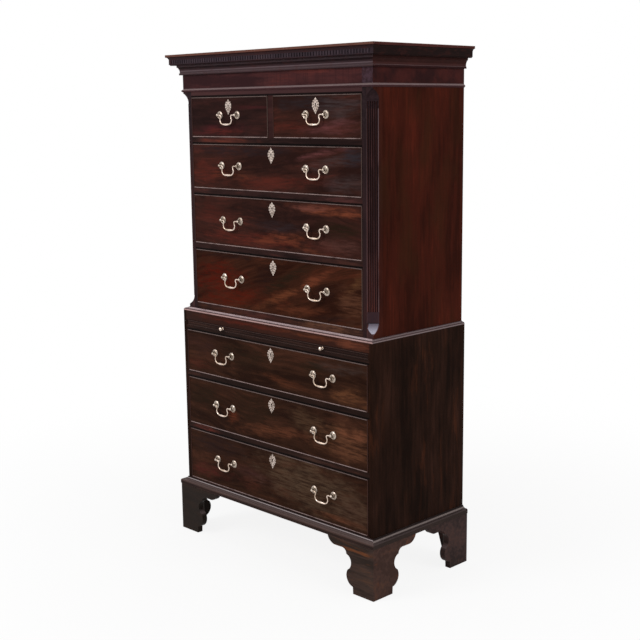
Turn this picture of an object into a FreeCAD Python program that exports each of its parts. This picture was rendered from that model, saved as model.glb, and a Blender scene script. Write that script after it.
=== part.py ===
import FreeCAD, Part

import math
import os

# A mahogany chest on chest in two cases, in millimetres. X runs to the right, Y to the
# back and Z up. The floor is Z = 0, and X = 0 and Y = 0 are the middle of the whole piece.

V = FreeCAD.Vector
SLACK = 1.0  # how far a cutting tool runs past the surface that it opens

# ---------------------------------------------------------------- the two cases
LOWER_WIDTH = 999.0
LOWER_DEPTH = 482.0
WAIST_STEP = 20.0  # the upper case stands this much behind the front of the lower one
WAIST_SIDE_STEP = 14.0  # and this much inside each of its sides
FOOT_HEIGHT = 184.0

UPPER_SIDE_BOARD = 18.0
LOWER_SIDE_BOARD = 20.5
CASE_BOARD = 20.0  # top and bottom boards of both cases
DUSTBOARD = 12.0
BACK_BOARD = 10.0
BACK_BOARDS = 5
BACK_REBATE = 9.0
BOARD_GAP = 0.6
HOUSING = 6.0  # how deep rails and dustboards are let into the sides

# ---------------------------------------------------------------- the drawer openings
# Each row: name, height of the opening, how far the handle sits above its middle.
UPPER_LONG_OPENINGS = (("third", 208.0, 8.5), ("second", 184.0, 2.5), ("first", 165.5, 4.0))
SHORT_OPENING = 147.0
SHORT_HANDLE_RISE = 6.5
LOWER_OPENINGS = (("bottom", 202.0, 5.0), ("middle", 185.5, 5.0), ("top", 163.5, 8.25))
UPPER_RAIL = 23.5
UPPER_BOTTOM_RAIL = 35.5
UPPER_TOP_RAIL = 18.0
LOWER_RAIL = 23.0
LOWER_BOTTOM_RAIL = 32.0
SLIDE_RAIL = 16.0
SLIDE_OPENING = 20.5
WAIST_RAIL = 35.0
LOWER_RAIL_DEPTH = 60.0
WAIST_RAIL_DEPTH = 22.0
PARTITION = 25.0  # between the two short drawers
GUIDE_HEIGHT = 28.0
RUNNER_WIDTH = 60.0
STOP_WIDTH = 36.0
STOP_DEPTH = 10.0
STOP_HEIGHT = 6.0
STOP_INSET = 60.0
STOP_GAP = 0.3

# ---------------------------------------------------------------- canted corners
POST_WIDTH = 47.0
POST_DEPTH = 45.0
CANT = 28.0  # leg of the chamfer on each face
CANT_LOW = 24.0  # square foot of the post below the lower tongue
CANT_HIGH = 4.5  # square head of the post above the upper tongue
TONGUE = 37.0
TONGUE_STEP = 1.2
FLUTES = 5
FLUTE_PITCH = 7.2
FLUTE_RADIUS = 2.5
FLUTE_SIDES = 8
FLUTE_LOW = 38.0  # plain chamfer between the lower tongue and the flutes
FLUTE_HIGH = 3.0

# ---------------------------------------------------------------- frieze, cornice, mouldings
FRIEZE = 63.0  # case top up to the underside of the cornice
FRIEZE_BOARD = 20.0
ASTRAGAL = 10.0
ASTRAGAL_OUT = 5.5
ASTRAGAL_PROFILE = ((0, 0), (0.45, 0), (0.45, 0.17), (0.45, 0.83, 1, 0.5), (0.45, 1), (0, 1))
CORNICE_HEIGHT = 74.0
CORNICE_OUT = 45.7
CORNICE_TOP_BOARD = 12.0
FASCIA_OUT = 36.0
FASCIA_LOW = 38.0  # underside of the fascia above the underside of the cornice
FASCIA_HEIGHT = 18.0
FASCIA_LIP = 3.0  # drip at the foot of the fascia, across and down
BED_OUT = 16.0
BED_PROFILE = ((0, 0), (0.62, 0), (0.62, 0.17), (0.5, 0.21), (0.84, 0.77, 0.55, 0.52), (1, 0.8), (1, 1))
CROWN_PROFILE = ((0, 0), (0.773, 0.5, 0.247, 0.306), (1, 0.5), (1, 1))
DENTIL_PITCH = 13.1
DENTIL_WIDTH = 8.0
DENTIL_HEIGHT = 13.0
DENTIL_PROUD = 2.8
DENTIL_BACKING = 1.2
DENTIL_SILL = 3.5
DENTIL_END = 14.0  # plain fascia at each corner
WAIST_MOULDING = 12.4
WAIST_PROFILE = ((0, 0), (1, 0), (1, 0.323), (0.55, 0.726, 0.86, 0.613), (0.55, 0.806),
                 (0.18, 1, 0.27, 0.855), (0, 1))
BASE_MOULDING = 28.0
BASE_OUT = 24.0
BASE_PROFILE = ((0, 0), (0.925, 0), (1, 0.054), (1, 0.536), (0.85, 0.643), (0.75, 0.643),
                (0.15, 0.929, 0.375, 0.707), (0.15, 1), (0, 1))

# ---------------------------------------------------------------- bracket feet
FOOT_OUT = 22.0
FOOT_BOARD = 22.0
FOOT_PAD = 96.0
BRACKET = 218.0
# Edge of the shaped bracket beyond its pad: a bold lobe, a waist, a cusp and a last rise.
BRACKET_EDGE = ((0, 0), (0.01, 0.136), (0.21, 0.446, 0.245, 0.27), (0.08, 0.61, 0.105, 0.516),
                (0.255, 0.745, 0.13, 0.696), (0.28, 0.80), (0.467, 0.85, 0.352, 0.84),
                (0.738, 0.848), (1, 1, 0.902, 0.897))
REAR_BRACKET = 128.0
REAR_BRACKET_EDGE = ((0, 0), (0.53, 0), (1, 1), (0, 1))
GLUE_BLOCK = 40.0
GLUE_BLOCK_LIFT = 8.0
SIDE_BLOCK = 26.0
SIDE_BLOCK_LENGTH = 110.0

# ---------------------------------------------------------------- drawers
FRONT = 22.0
BEAD = 3.0
BEAD_PROUD = 2.0
BEAD_DEPTH = 8.0  # how deep the side and bottom beads are let into the front
BEAD_EASE = 0.9
LINING = 9.5
TAIL = 12.0  # length of the front dovetails
TAIL_SHARE = 0.62
TAIL_SLOPE = math.radians(10)
TAIL_SPACING = 75.0
REAR_LAP = 5.0  # how far the drawer back is let into the ends of the sides
DRAWER_BOTTOM = 7.0
BOTTOM_GROOVE = 6.0
STRIP_WIDTH = 12.0
STRIP_HEIGHT = 8.0
SIDE_DROP = 5.0  # the drawer sides stand this much lower than the front
BACK_DROP = 8.0  # and the drawer back this much lower than the sides
GAP_TOP = 2.0
GAP_SIDE = 1.2
GAP_RUN = 0.4
GAP_BACK = 6.0

# ---------------------------------------------------------------- brushing slide
SLIDE_BACK_GAP = 52.0
SLIDE_EDGE = 22.0
SLIDE_PANEL = 18.0
SLIDE_CLEAT = 62.0
SLIDE_TOP_GAP = 0.8
REED = 3.0
REED_PROUD = 1.5
KNOB_RADIUS = 7.5
KNOB_REACH = 16.0
KNOB_NECK = 3.2
KNOB_PROFILE = ((0, 0.64), (0.25, 0.43), (0.6, 1), (0.85, 0.9), (1, 0.45))
KNOB_SHANK = 12.0
KNOB_SIDES = 8

# ---------------------------------------------------------------- brasses
UPPER_HANDLE_SHARE = 0.506  # from the middle of a long drawer to the end of its opening
LOWER_HANDLE_SHARE = 0.555
HANDLE_SPREAD = 96.0  # between the two posts of one handle
ROSE_RADIUS = 16.0
ROSE_EDGE = 1.4
ROSE_DOME = 4.2
POST_HEAD = 6.4
POST_TIP = 5.4
POST_SHANK = 2.6
SHANK_ROOM = 0.3
PIVOT_OUT = 13.5  # bail pivot in front of the drawer face
POST_REACH = 19.0
NUT = 11.0
NUT_THICK = 3.0
BAIL_WIRE = 2.3
BAIL_GRIP = 4.2
BAIL_DROP = 36.0
GRIP_HALF = 13.0
BAIL_SHOULDER = 14.0  # straight run from the post to the neck
BAIL_NECK = 5.5
BAIL_HOLLOW = 8.0
BAIL_SPLAY = math.radians(33)
PIN_DEPTH = 4.0
PIN_ROOM = 0.3
WIRE_SIDES = 5
BELLY_STEPS = 3
SHANK_SIDES = 4
ROSE_SIDES = 8
ESCUTCHEON_HEIGHT = 55.0
ESCUTCHEON_WIDTH = 33.0
ESCUTCHEON_THICK = 1.2
LEAF = ((0, 1), (0.28, 0.63), (0.66, 0.60), (0.76, 0.36), (1, 0.20), (0.94, -0.10),
        (0.50, -0.40), (0.42, -0.62), (0, -1))  # right half of the plate, from its top
ESCUTCHEON_DROP = 36.0  # its middle below the top of the drawer front
KEYHOLE_RISE = 4.5
KEYHOLE_RADIUS = 2.4
KEYHOLE_SLOT = 1.3
KEYHOLE_DROP = 7.5
LOCK_WIDTH = 62.0
LOCK_HEIGHT = 48.0
LOCK_DEPTH = 10.0

# ---------------------------------------------------------------- planes and levels
LOWER_HALF = LOWER_WIDTH / 2
UPPER_HALF = LOWER_HALF - WAIST_SIDE_STEP
UPPER_DEPTH = LOWER_DEPTH - WAIST_STEP
FRONT_REACH = max(UPPER_DEPTH + CORNICE_OUT, LOWER_DEPTH + BASE_OUT)
BACK = FRONT_REACH / 2
UPPER_FRONT = BACK - UPPER_DEPTH
LOWER_FRONT = BACK - LOWER_DEPTH
UPPER_OPENING = UPPER_HALF - POST_WIDTH
UPPER_INNER = UPPER_HALF - UPPER_SIDE_BOARD
LOWER_OPENING = LOWER_HALF - LOWER_SIDE_BOARD
BACK_FACE = BACK - BACK_BOARD
UPPER_HANDLE_X = UPPER_HANDLE_SHARE * UPPER_OPENING
LOWER_HANDLE_X = LOWER_HANDLE_SHARE * LOWER_OPENING


def stack(base, rail, rows):
    """The floor of each opening, one above the other, and the level above the last."""
    floors = []
    level = base
    for row in rows:
        floors.append(level)
        level += row[1] + rail
    return floors, level


LOWER_BASE = FOOT_HEIGHT
LOWER_FLOORS, SLIDE_RAIL_Z = stack(LOWER_BASE + LOWER_BOTTOM_RAIL, LOWER_RAIL, LOWER_OPENINGS)
SLIDE_RAIL_Z -= LOWER_RAIL
SLIDE_Z = SLIDE_RAIL_Z + SLIDE_RAIL
WAIST_RAIL_Z = SLIDE_Z + SLIDE_OPENING
LOWER_TOP = WAIST_RAIL_Z + WAIST_RAIL
UPPER_BASE = LOWER_TOP
UPPER_FLOORS, SHORT_FLOOR = stack(UPPER_BASE + UPPER_BOTTOM_RAIL, UPPER_RAIL, UPPER_LONG_OPENINGS)
UPPER_TOP_RAIL_Z = SHORT_FLOOR + SHORT_OPENING
UPPER_TOP = UPPER_TOP_RAIL_Z + UPPER_TOP_RAIL
CORNICE_Z = UPPER_TOP + FRIEZE
TOP = CORNICE_Z + CORNICE_HEIGHT


# ---------------------------------------------------------------- shaping helpers
def block(x0, x1, y0, y1, z0, z1):
    return Part.makeBox(x1 - x0, y1 - y0, z1 - z0, V(x0, y0, z0))


def outline(points, place):
    """A flat face. A point (a, b) is reached by a line, and (a, b, c, d) by an arc through (c, d)."""
    edges = []
    last = place(*points[0][:2])
    for point in list(points[1:]) + [points[0][:2]]:
        end = place(*point[:2])
        if len(point) == 4:
            edges.append(Part.Arc(last, place(*point[2:]), end).toShape())
        elif not last.isEqual(end, 1e-6):
            edges.append(Part.LineSegment(last, end).toShape())
        last = end
    return Part.Face(Part.Wire(edges))


def spread(points, width, height, start=0.0, level=0.0):
    """Points given in shares of a width and a height, laid out from a start and a level."""
    return [tuple(level + share * height if index % 2 else start + share * width
                  for index, share in enumerate(point)) for point in points]


def mirrored(shape):
    return shape.mirror(V(0, 0, 0), V(1, 0, 0))


def pair(shape):
    return [shape, mirrored(shape)]


def beyond(x, y, angle):
    """A large block that lies on one side of the upright plane through (x, y)."""
    size = 2 * (TOP + FRONT_REACH + LOWER_WIDTH)
    half = Part.makeBox(size, size, size, V(0, -size / 2, -size / 2))
    half.rotate(V(0, 0, 0), V(0, 0, 1), angle)
    half.translate(V(x, y, 0))
    return half


def moulding(profile, half, front, out, side_share=1.0):
    """Front and two side lengths of a moulding, mitred at the corners. The profile holds
    distances out from the case and heights, and the side lengths may be shallower."""
    angle = math.degrees(math.atan2(side_share, 1.0))
    reach = half + out + SLACK
    face = outline(profile, lambda a, z: V(-reach, front - a, z))
    middle = face.extrude(V(2 * reach, 0, 0))
    middle = middle.cut([beyond(half, front, angle), beyond(-half, front, 180 - angle)])

    start = front - out - SLACK
    face = outline(spread(profile, side_share, 1.0), lambda a, z: V(half + a, start, z))
    side = face.extrude(V(0, BACK - start, 0))
    side = side.cut(beyond(half, front, angle - 180))
    return [middle] + pair(side)


def ring(centre, across, upward, radius, sides):
    """Corners of a regular polygon about a centre. Its first flat faces across."""
    corners = []
    for index in range(sides):
        angle = 2 * math.pi * (index + 0.5) / sides
        corners.append(centre + across * (radius * math.cos(angle)) + upward * (radius * math.sin(angle)))
    return corners


def skin(rings):
    """A closed solid with flat faces between matching rings of corners."""
    faces = [Part.Face(Part.makePolygon(end + end[:1])) for end in (rings[0], rings[-1])]
    for one, two in zip(rings, rings[1:]):
        for index in range(len(one)):
            corners = [one[index - 1], one[index], two[index], two[index - 1], one[index - 1]]
            faces.append(Part.Face(Part.makePolygon(corners)))
    shell = Part.makeShell(faces)
    shell.sewShape()
    solid = Part.makeSolid(shell)
    if solid.Volume < 0:
        solid.reverse()
    return solid


def along_y(x, z, sides, *stations):
    """A many-sided turned shape whose axis runs along Y, through pairs of (y, radius)."""
    return skin([ring(V(x, y, z), V(1, 0, 0), V(0, 0, 1), radius, sides) for y, radius in stations])


def save(node, shapes):
    solids = []
    for shape in shapes:
        solids.extend(shape.Solids)
    Part.Compound(solids).exportStep("parts/" + node + ".step")


# ---------------------------------------------------------------- shared carcass parts
def back_boards(inner, base, top):
    """Upright boards side by side in the rebates of the two sides."""
    half = inner + BACK_REBATE
    pitch = 2 * half / BACK_BOARDS
    boards = []
    for index in range(BACK_BOARDS):
        left = -half + index * pitch
        gap = BOARD_GAP if index < BACK_BOARDS - 1 else 0.0
        boards.append(block(left, left + pitch - gap, BACK_FACE, BACK, base, top))
    return boards


def drawer_stops(half, middle, front, floor):
    """Two small blocks on the rail that meet the back of a closed drawer front."""
    behind = front + FRONT + STOP_GAP
    stops = []
    for side in (-1, 1):
        x = middle + side * (half - STOP_INSET)
        stops.append(block(x - STOP_WIDTH / 2, x + STOP_WIDTH / 2, behind, behind + STOP_DEPTH,
                           floor, floor + STOP_HEIGHT))
    return stops


# ---------------------------------------------------------------- upper case
def short_half():
    """Half the width of a short drawer's opening, and its middle."""
    return (UPPER_OPENING - PARTITION / 2) / 2, (UPPER_OPENING + PARTITION / 2) / 2


def build_canted_corner():
    """The right post: a chamfered corner with tongue stops and stopped flutes."""
    post = block(UPPER_OPENING, UPPER_HALF, UPPER_FRONT, UPPER_FRONT + POST_DEPTH,
                 UPPER_BASE, UPPER_TOP)
    depth = CANT / math.sqrt(2)
    reach = CANT + SLACK
    low_tip = UPPER_BASE + CANT_LOW
    high_tip = UPPER_TOP - CANT_HIGH
    low = low_tip + TONGUE
    high = high_tip - TONGUE
    edge = V(UPPER_HALF, UPPER_FRONT, 0)
    outward = V(1, -1, 0).normalize()
    along = V(1, 1, 0).normalize()

    def place(distance, z):
        return edge - outward * (depth - distance) - along * reach + V(0, 0, z)

    sink = -TONGUE_STEP
    radius = ((depth - sink) ** 2 + TONGUE ** 2) / (2 * (depth - sink))
    bow = radius - math.sqrt(radius ** 2 - (TONGUE / 2) ** 2)
    profile = [(depth, low_tip), (depth + SLACK, low_tip), (depth + SLACK, high_tip),
               (depth, high_tip), (sink, high, sink + bow, high + TONGUE / 2),
               (0, high), (0, low), (sink, low),
               (depth, low_tip, sink + bow, low - TONGUE / 2)]
    post = post.cut(outline(profile, place).extrude(along * (2 * reach)))

    flutes = []
    first = -(FLUTES - 1) / 2 * FLUTE_PITCH
    face_middle = edge - outward * depth
    foot = low + FLUTE_LOW
    for index in range(FLUTES):
        centre = face_middle + along * (first + index * FLUTE_PITCH)
        ends = [ring(centre + V(0, 0, z), outward, along, FLUTE_RADIUS, FLUTE_SIDES)
                for z in (foot, high - FLUTE_HIGH)]
        flutes.append(skin(ends))
    return post.cut(flutes)


def build_upper_case():
    half, middle = short_half()
    rail_back = UPPER_FRONT + POST_DEPTH
    rails = [block(-UPPER_OPENING, UPPER_OPENING, UPPER_FRONT, rail_back,
                   UPPER_BASE, UPPER_BASE + UPPER_BOTTOM_RAIL),
             block(-UPPER_OPENING, UPPER_OPENING, UPPER_FRONT, rail_back,
                   UPPER_TOP_RAIL_Z, UPPER_TOP),
             block(-PARTITION / 2, PARTITION / 2, UPPER_FRONT, rail_back,
                   SHORT_FLOOR, UPPER_TOP_RAIL_Z)]
    dustboards = []
    guides = []
    floors = UPPER_FLOORS + [SHORT_FLOOR]
    for floor in floors[1:]:
        rails.append(block(-UPPER_OPENING, UPPER_OPENING, UPPER_FRONT, rail_back,
                           floor - UPPER_RAIL, floor))
        dustboards.append(block(-UPPER_INNER - HOUSING, UPPER_INNER + HOUSING, rail_back,
                                BACK_FACE, floor - DUSTBOARD, floor))
    for floor in floors:
        guides += pair(block(UPPER_OPENING, UPPER_INNER, rail_back, BACK_FACE,
                             floor, floor + GUIDE_HEIGHT))
    guides.append(block(-PARTITION / 2, PARTITION / 2, rail_back, BACK_FACE,
                        SHORT_FLOOR, SHORT_FLOOR + GUIDE_HEIGHT))
    guides += pair(block(UPPER_INNER - RUNNER_WIDTH, UPPER_INNER, rail_back, BACK_FACE,
                         UPPER_BASE + CASE_BOARD, UPPER_BASE + UPPER_BOTTOM_RAIL))
    for floor in UPPER_FLOORS:
        rails += drawer_stops(UPPER_OPENING, 0, UPPER_FRONT, floor)
    for centre in (-middle, middle):
        rails += drawer_stops(half, centre, UPPER_FRONT, SHORT_FLOOR)

    boards = [block(-UPPER_INNER - HOUSING, UPPER_INNER + HOUSING, rail_back, BACK_FACE, low, high)
              for low, high in ((UPPER_BASE, UPPER_BASE + CASE_BOARD),
                                (UPPER_TOP - UPPER_TOP_RAIL, UPPER_TOP))]
    backs = back_boards(UPPER_INNER, UPPER_BASE, UPPER_TOP)
    side = block(UPPER_INNER, UPPER_HALF, rail_back, BACK, UPPER_BASE, UPPER_TOP)
    side = side.cut(dustboards + boards + [backs[-1]])
    save("upper_side_panels", pair(side))
    save("upper_top_and_bottom_boards", boards)
    save("upper_backboards", backs)
    save("upper_drawer_rails", rails)
    save("upper_dustboards", dustboards)
    save("upper_drawer_guides", guides)
    save("canted_corners", pair(build_canted_corner()))


def build_frieze():
    """Boards that carry the cornice, and the astragal around their foot."""
    boards_top = TOP - CORNICE_TOP_BOARD
    side_front = UPPER_FRONT + FRIEZE_BOARD
    side_inner = UPPER_HALF - FRIEZE_BOARD
    boards = [block(-UPPER_HALF, UPPER_HALF, UPPER_FRONT, side_front, UPPER_TOP, boards_top),
              block(-side_inner, side_inner, BACK - FRIEZE_BOARD, BACK, UPPER_TOP, boards_top)]
    boards += pair(block(side_inner, UPPER_HALF, side_front, BACK, UPPER_TOP, boards_top))
    profile = spread(ASTRAGAL_PROFILE, ASTRAGAL_OUT, ASTRAGAL, level=UPPER_TOP)
    save("frieze", boards + moulding(profile, UPPER_HALF, UPPER_FRONT, ASTRAGAL_OUT))


def build_cornice():
    """Bed mould, soffit, dentil fascia, hollow and top fillet, in three mitred lengths."""
    fascia_z = CORNICE_Z + FASCIA_LOW
    fascia_top = fascia_z + FASCIA_HEIGHT
    soffit = fascia_z - FASCIA_LIP
    profile = spread(BED_PROFILE, BED_OUT, soffit - CORNICE_Z, level=CORNICE_Z)
    profile += [(FASCIA_OUT - FASCIA_LIP, soffit), (FASCIA_OUT - FASCIA_LIP, fascia_z),
                (FASCIA_OUT, fascia_z)]
    profile += spread(CROWN_PROFILE, CORNICE_OUT - FASCIA_OUT, TOP - fascia_top,
                      FASCIA_OUT, fascia_top)
    profile.append((0, TOP))
    lengths = moulding(profile, UPPER_HALF, UPPER_FRONT, CORNICE_OUT)

    face_y = UPPER_FRONT - FASCIA_OUT
    bed_y = face_y + DENTIL_BACKING + DENTIL_PROUD
    low = fascia_z + DENTIL_SILL
    high = low + DENTIL_HEIGHT
    reach = UPPER_HALF + FASCIA_OUT - DENTIL_END
    lengths[0] = lengths[0].cut(block(-reach, reach, face_y - SLACK, bed_y, low, high))
    top_board = block(-UPPER_HALF, UPPER_HALF, UPPER_FRONT, BACK, TOP - CORNICE_TOP_BOARD, TOP)
    save("cornice", lengths + [top_board])

    count = int((2 * reach + DENTIL_PITCH - DENTIL_WIDTH) / DENTIL_PITCH)
    tooth_y = bed_y - DENTIL_BACKING
    teeth = [block(-reach, reach, tooth_y, bed_y, low, high)]
    for index in range(count):
        centre = (index - (count - 1) / 2) * DENTIL_PITCH
        teeth.append(block(centre - DENTIL_WIDTH / 2, centre + DENTIL_WIDTH / 2, face_y, tooth_y,
                           low, high))
    save("dentil_course", teeth)


# ---------------------------------------------------------------- lower case
def build_lower_case():
    housed = LOWER_OPENING + HOUSING
    rail_back = LOWER_FRONT + LOWER_RAIL_DEPTH
    levels = [(LOWER_BASE, LOWER_BASE + LOWER_BOTTOM_RAIL), (SLIDE_RAIL_Z, SLIDE_Z)]
    levels += [(floor - LOWER_RAIL, floor) for floor in LOWER_FLOORS[1:]]
    rails = [block(-housed, housed, LOWER_FRONT, rail_back, low, high) for low, high in levels]
    waist_back = LOWER_FRONT + WAIST_RAIL_DEPTH
    rails.append(block(-housed, housed, LOWER_FRONT, waist_back, WAIST_RAIL_Z, LOWER_TOP))
    dustboards = [block(-housed, housed, rail_back, BACK_FACE, floor - DUSTBOARD, floor)
                  for floor in LOWER_FLOORS[1:] + [SLIDE_Z]]
    boards = [block(-housed, housed, rail_back, BACK_FACE, LOWER_BASE, LOWER_BASE + CASE_BOARD),
              block(-housed, housed, waist_back, BACK_FACE, LOWER_TOP - CASE_BOARD, LOWER_TOP)]
    backs = back_boards(LOWER_OPENING, LOWER_BASE, LOWER_TOP)
    side = block(LOWER_OPENING, LOWER_HALF, LOWER_FRONT, BACK, LOWER_BASE, LOWER_TOP)
    side = side.cut(rails + dustboards + boards + [backs[-1]])
    stops = []
    for floor in LOWER_FLOORS:
        stops += drawer_stops(LOWER_OPENING, 0, LOWER_FRONT, floor)
    runners = pair(block(LOWER_OPENING - RUNNER_WIDTH, LOWER_OPENING, rail_back, BACK_FACE,
                         LOWER_BASE + CASE_BOARD, LOWER_BASE + LOWER_BOTTOM_RAIL))
    kickers = pair(block(LOWER_OPENING - RUNNER_WIDTH, LOWER_OPENING, waist_back, BACK_FACE,
                         WAIST_RAIL_Z, LOWER_TOP - CASE_BOARD))
    save("lower_side_panels", pair(side))
    save("lower_top_and_bottom_boards", boards)
    save("lower_backboards", backs)
    save("lower_drawer_rails", rails + stops)
    save("lower_dustboards", dustboards + runners + kickers)


def build_waist_moulding():
    """The strip that covers the ledge between the two cases."""
    profile = spread(WAIST_PROFILE, WAIST_STEP, WAIST_MOULDING, level=LOWER_TOP)
    share = WAIST_SIDE_STEP / WAIST_STEP
    save("waist_moulding", moulding(profile, UPPER_HALF, UPPER_FRONT, WAIST_STEP, share))


def build_base_moulding():
    profile = spread(BASE_PROFILE, BASE_OUT, BASE_MOULDING, level=LOWER_BASE)
    save("base_moulding", moulding(profile, LOWER_HALF, LOWER_FRONT, BASE_OUT))


def build_feet():
    half = LOWER_HALF + FOOT_OUT
    front = LOWER_FRONT - FOOT_OUT
    edge = spread(BRACKET_EDGE, BRACKET - FOOT_PAD, FOOT_HEIGHT, FOOT_PAD)
    shape = [(0, 0)] + edge + [(0, FOOT_HEIGHT)]
    face = outline(shape, lambda a, z: V(half - a, front, z)).extrude(V(0, FOOT_BOARD, 0))
    face = face.cut(beyond(half, front, 45))
    side = outline(shape, lambda a, z: V(half, front + a, z)).extrude(V(-FOOT_BOARD, 0, 0))
    side = side.cut(beyond(half, front, -135))
    save("bracket_feet_front", pair(face) + pair(side))

    rear_side = outline(shape, lambda a, z: V(half, BACK - a, z)).extrude(V(-FOOT_BOARD, 0, 0))
    plain = spread(REAR_BRACKET_EDGE, REAR_BRACKET, FOOT_HEIGHT, FOOT_BOARD)
    rear = outline(plain, lambda a, z: V(half - a, BACK - FOOT_BOARD, z))
    rear = rear.extrude(V(0, FOOT_BOARD, 0))
    save("bracket_feet_rear", pair(rear_side) + pair(rear))

    inner = half - FOOT_BOARD
    blocks = []
    for start, turn in ((front + FOOT_BOARD, 1), (BACK - FOOT_BOARD, -1)):
        def span(near, far):
            return sorted((start + turn * near, start + turn * far))
        blocks += pair(block(inner - GLUE_BLOCK, inner, *span(0, GLUE_BLOCK),
                             GLUE_BLOCK_LIFT, FOOT_HEIGHT))
        under = FOOT_HEIGHT - SIDE_BLOCK
        blocks += pair(block(inner - SIDE_BLOCK, inner,
                             *span(GLUE_BLOCK, GLUE_BLOCK + SIDE_BLOCK_LENGTH), under, FOOT_HEIGHT))
    reach = inner - GLUE_BLOCK
    front_inner = front + FOOT_BOARD
    blocks += pair(block(reach - SIDE_BLOCK_LENGTH, reach, front_inner, front_inner + SIDE_BLOCK,
                         FOOT_HEIGHT - SIDE_BLOCK, FOOT_HEIGHT))
    save("foot_glue_blocks", blocks)


# ---------------------------------------------------------------- brushing slide
def build_slide():
    half = LOWER_OPENING - GAP_SIDE
    low = SLIDE_Z + GAP_RUN
    high = WAIST_RAIL_Z - SLIDE_TOP_GAP
    middle = (low + high) / 2
    behind = LOWER_FRONT + SLIDE_EDGE
    back = BACK_FACE - SLIDE_BACK_GAP
    reeds = [(SLIDE_EDGE, high), (SLIDE_EDGE, low)]
    for centre in (low + REED / 2, middle, high - REED / 2):
        reeds += [(REED_PROUD, centre - REED / 2), (0, centre - REED / 4), (0, centre + REED / 4),
                  (REED_PROUD, centre + REED / 2)]
    edge = outline(reeds, lambda a, z: V(-half, LOWER_FRONT + a, z)).extrude(V(2 * half, 0, 0))
    inner_end = LOWER_FRONT + KNOB_SHANK
    shanks = [along_y(x, middle, SHANK_SIDES, (LOWER_FRONT - SLACK, KNOB_NECK), (inner_end, KNOB_NECK))
              for x in (-LOWER_HANDLE_X, LOWER_HANDLE_X)]
    panel = block(SLIDE_CLEAT - half, half - SLIDE_CLEAT, behind, back, high - SLIDE_PANEL, high)
    cleats = pair(block(half - SLIDE_CLEAT, half, behind, back, low, high))
    save("brushing_slide", [edge.cut(shanks), panel] + cleats)

    knobs = []
    for x in (-LOWER_HANDLE_X, LOWER_HANDLE_X):
        turned = spread(KNOB_PROFILE, -KNOB_REACH, KNOB_RADIUS, LOWER_FRONT)
        knob = along_y(x, middle, KNOB_SIDES, *turned)
        shank = along_y(x, middle, SHANK_SIDES, (LOWER_FRONT, KNOB_NECK), (inner_end, KNOB_NECK))
        knobs.append(knob.fuse(shank).removeSplitter())
    save("slide_knobs", knobs)


# ---------------------------------------------------------------- drawers
def key_way(x, y0, y1, z):
    """The upright slot that the key passes through, behind the shaped hole of the escutcheon."""
    return block(x - KEYHOLE_RADIUS, x + KEYHOLE_RADIUS, y0, y1, z - KEYHOLE_DROP, z + KEYHOLE_RADIUS)


def tails(x0, x1, root, end, low, high):
    """Dovetails along Y that widen from their root to their end, across x0 to x1."""
    count = round((high - low) / TAIL_SPACING)
    pitch = (high - low) / count
    wide = TAIL_SHARE * pitch / 2
    narrow = wide - abs(end - root) * math.tan(TAIL_SLOPE)
    shapes = []
    for index in range(count):
        z = low + (index + 0.5) * pitch
        points = [(root, z - narrow), (end, z - wide), (end, z + wide), (root, z + narrow)]
        shapes.append(outline(points, lambda y, b: V(x0, y, b)).extrude(V(x1 - x0, 0, 0)))
    return shapes


def cockbeads(x, half, face, low, high):
    """Top bead over the whole edge of the front, and side and bottom beads in rebates."""
    nose = face - BEAD_PROUD
    eased = nose + BEAD_EASE

    def section(depth):
        return [(nose, BEAD_EASE), (nose, BEAD - BEAD_EASE), (eased, BEAD),
                (face + depth, BEAD), (face + depth, 0), (eased, 0)]

    top = high - BEAD
    width = 2 * (half - BEAD)
    upper = outline(section(FRONT), lambda a, b: V(x - half, a, top + b))
    lower = outline(section(BEAD_DEPTH), lambda a, b: V(x - half + BEAD, a, low + b))
    strips = [upper.extrude(V(2 * half, 0, 0)), lower.extrude(V(width, 0, 0))]
    for side in (-1, 1):
        edge = outline(section(BEAD_DEPTH), lambda a, b: V(x + side * (half - b), a, low))
        strips.append(edge.extrude(V(0, 0, top - low)))
    return strips


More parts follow.
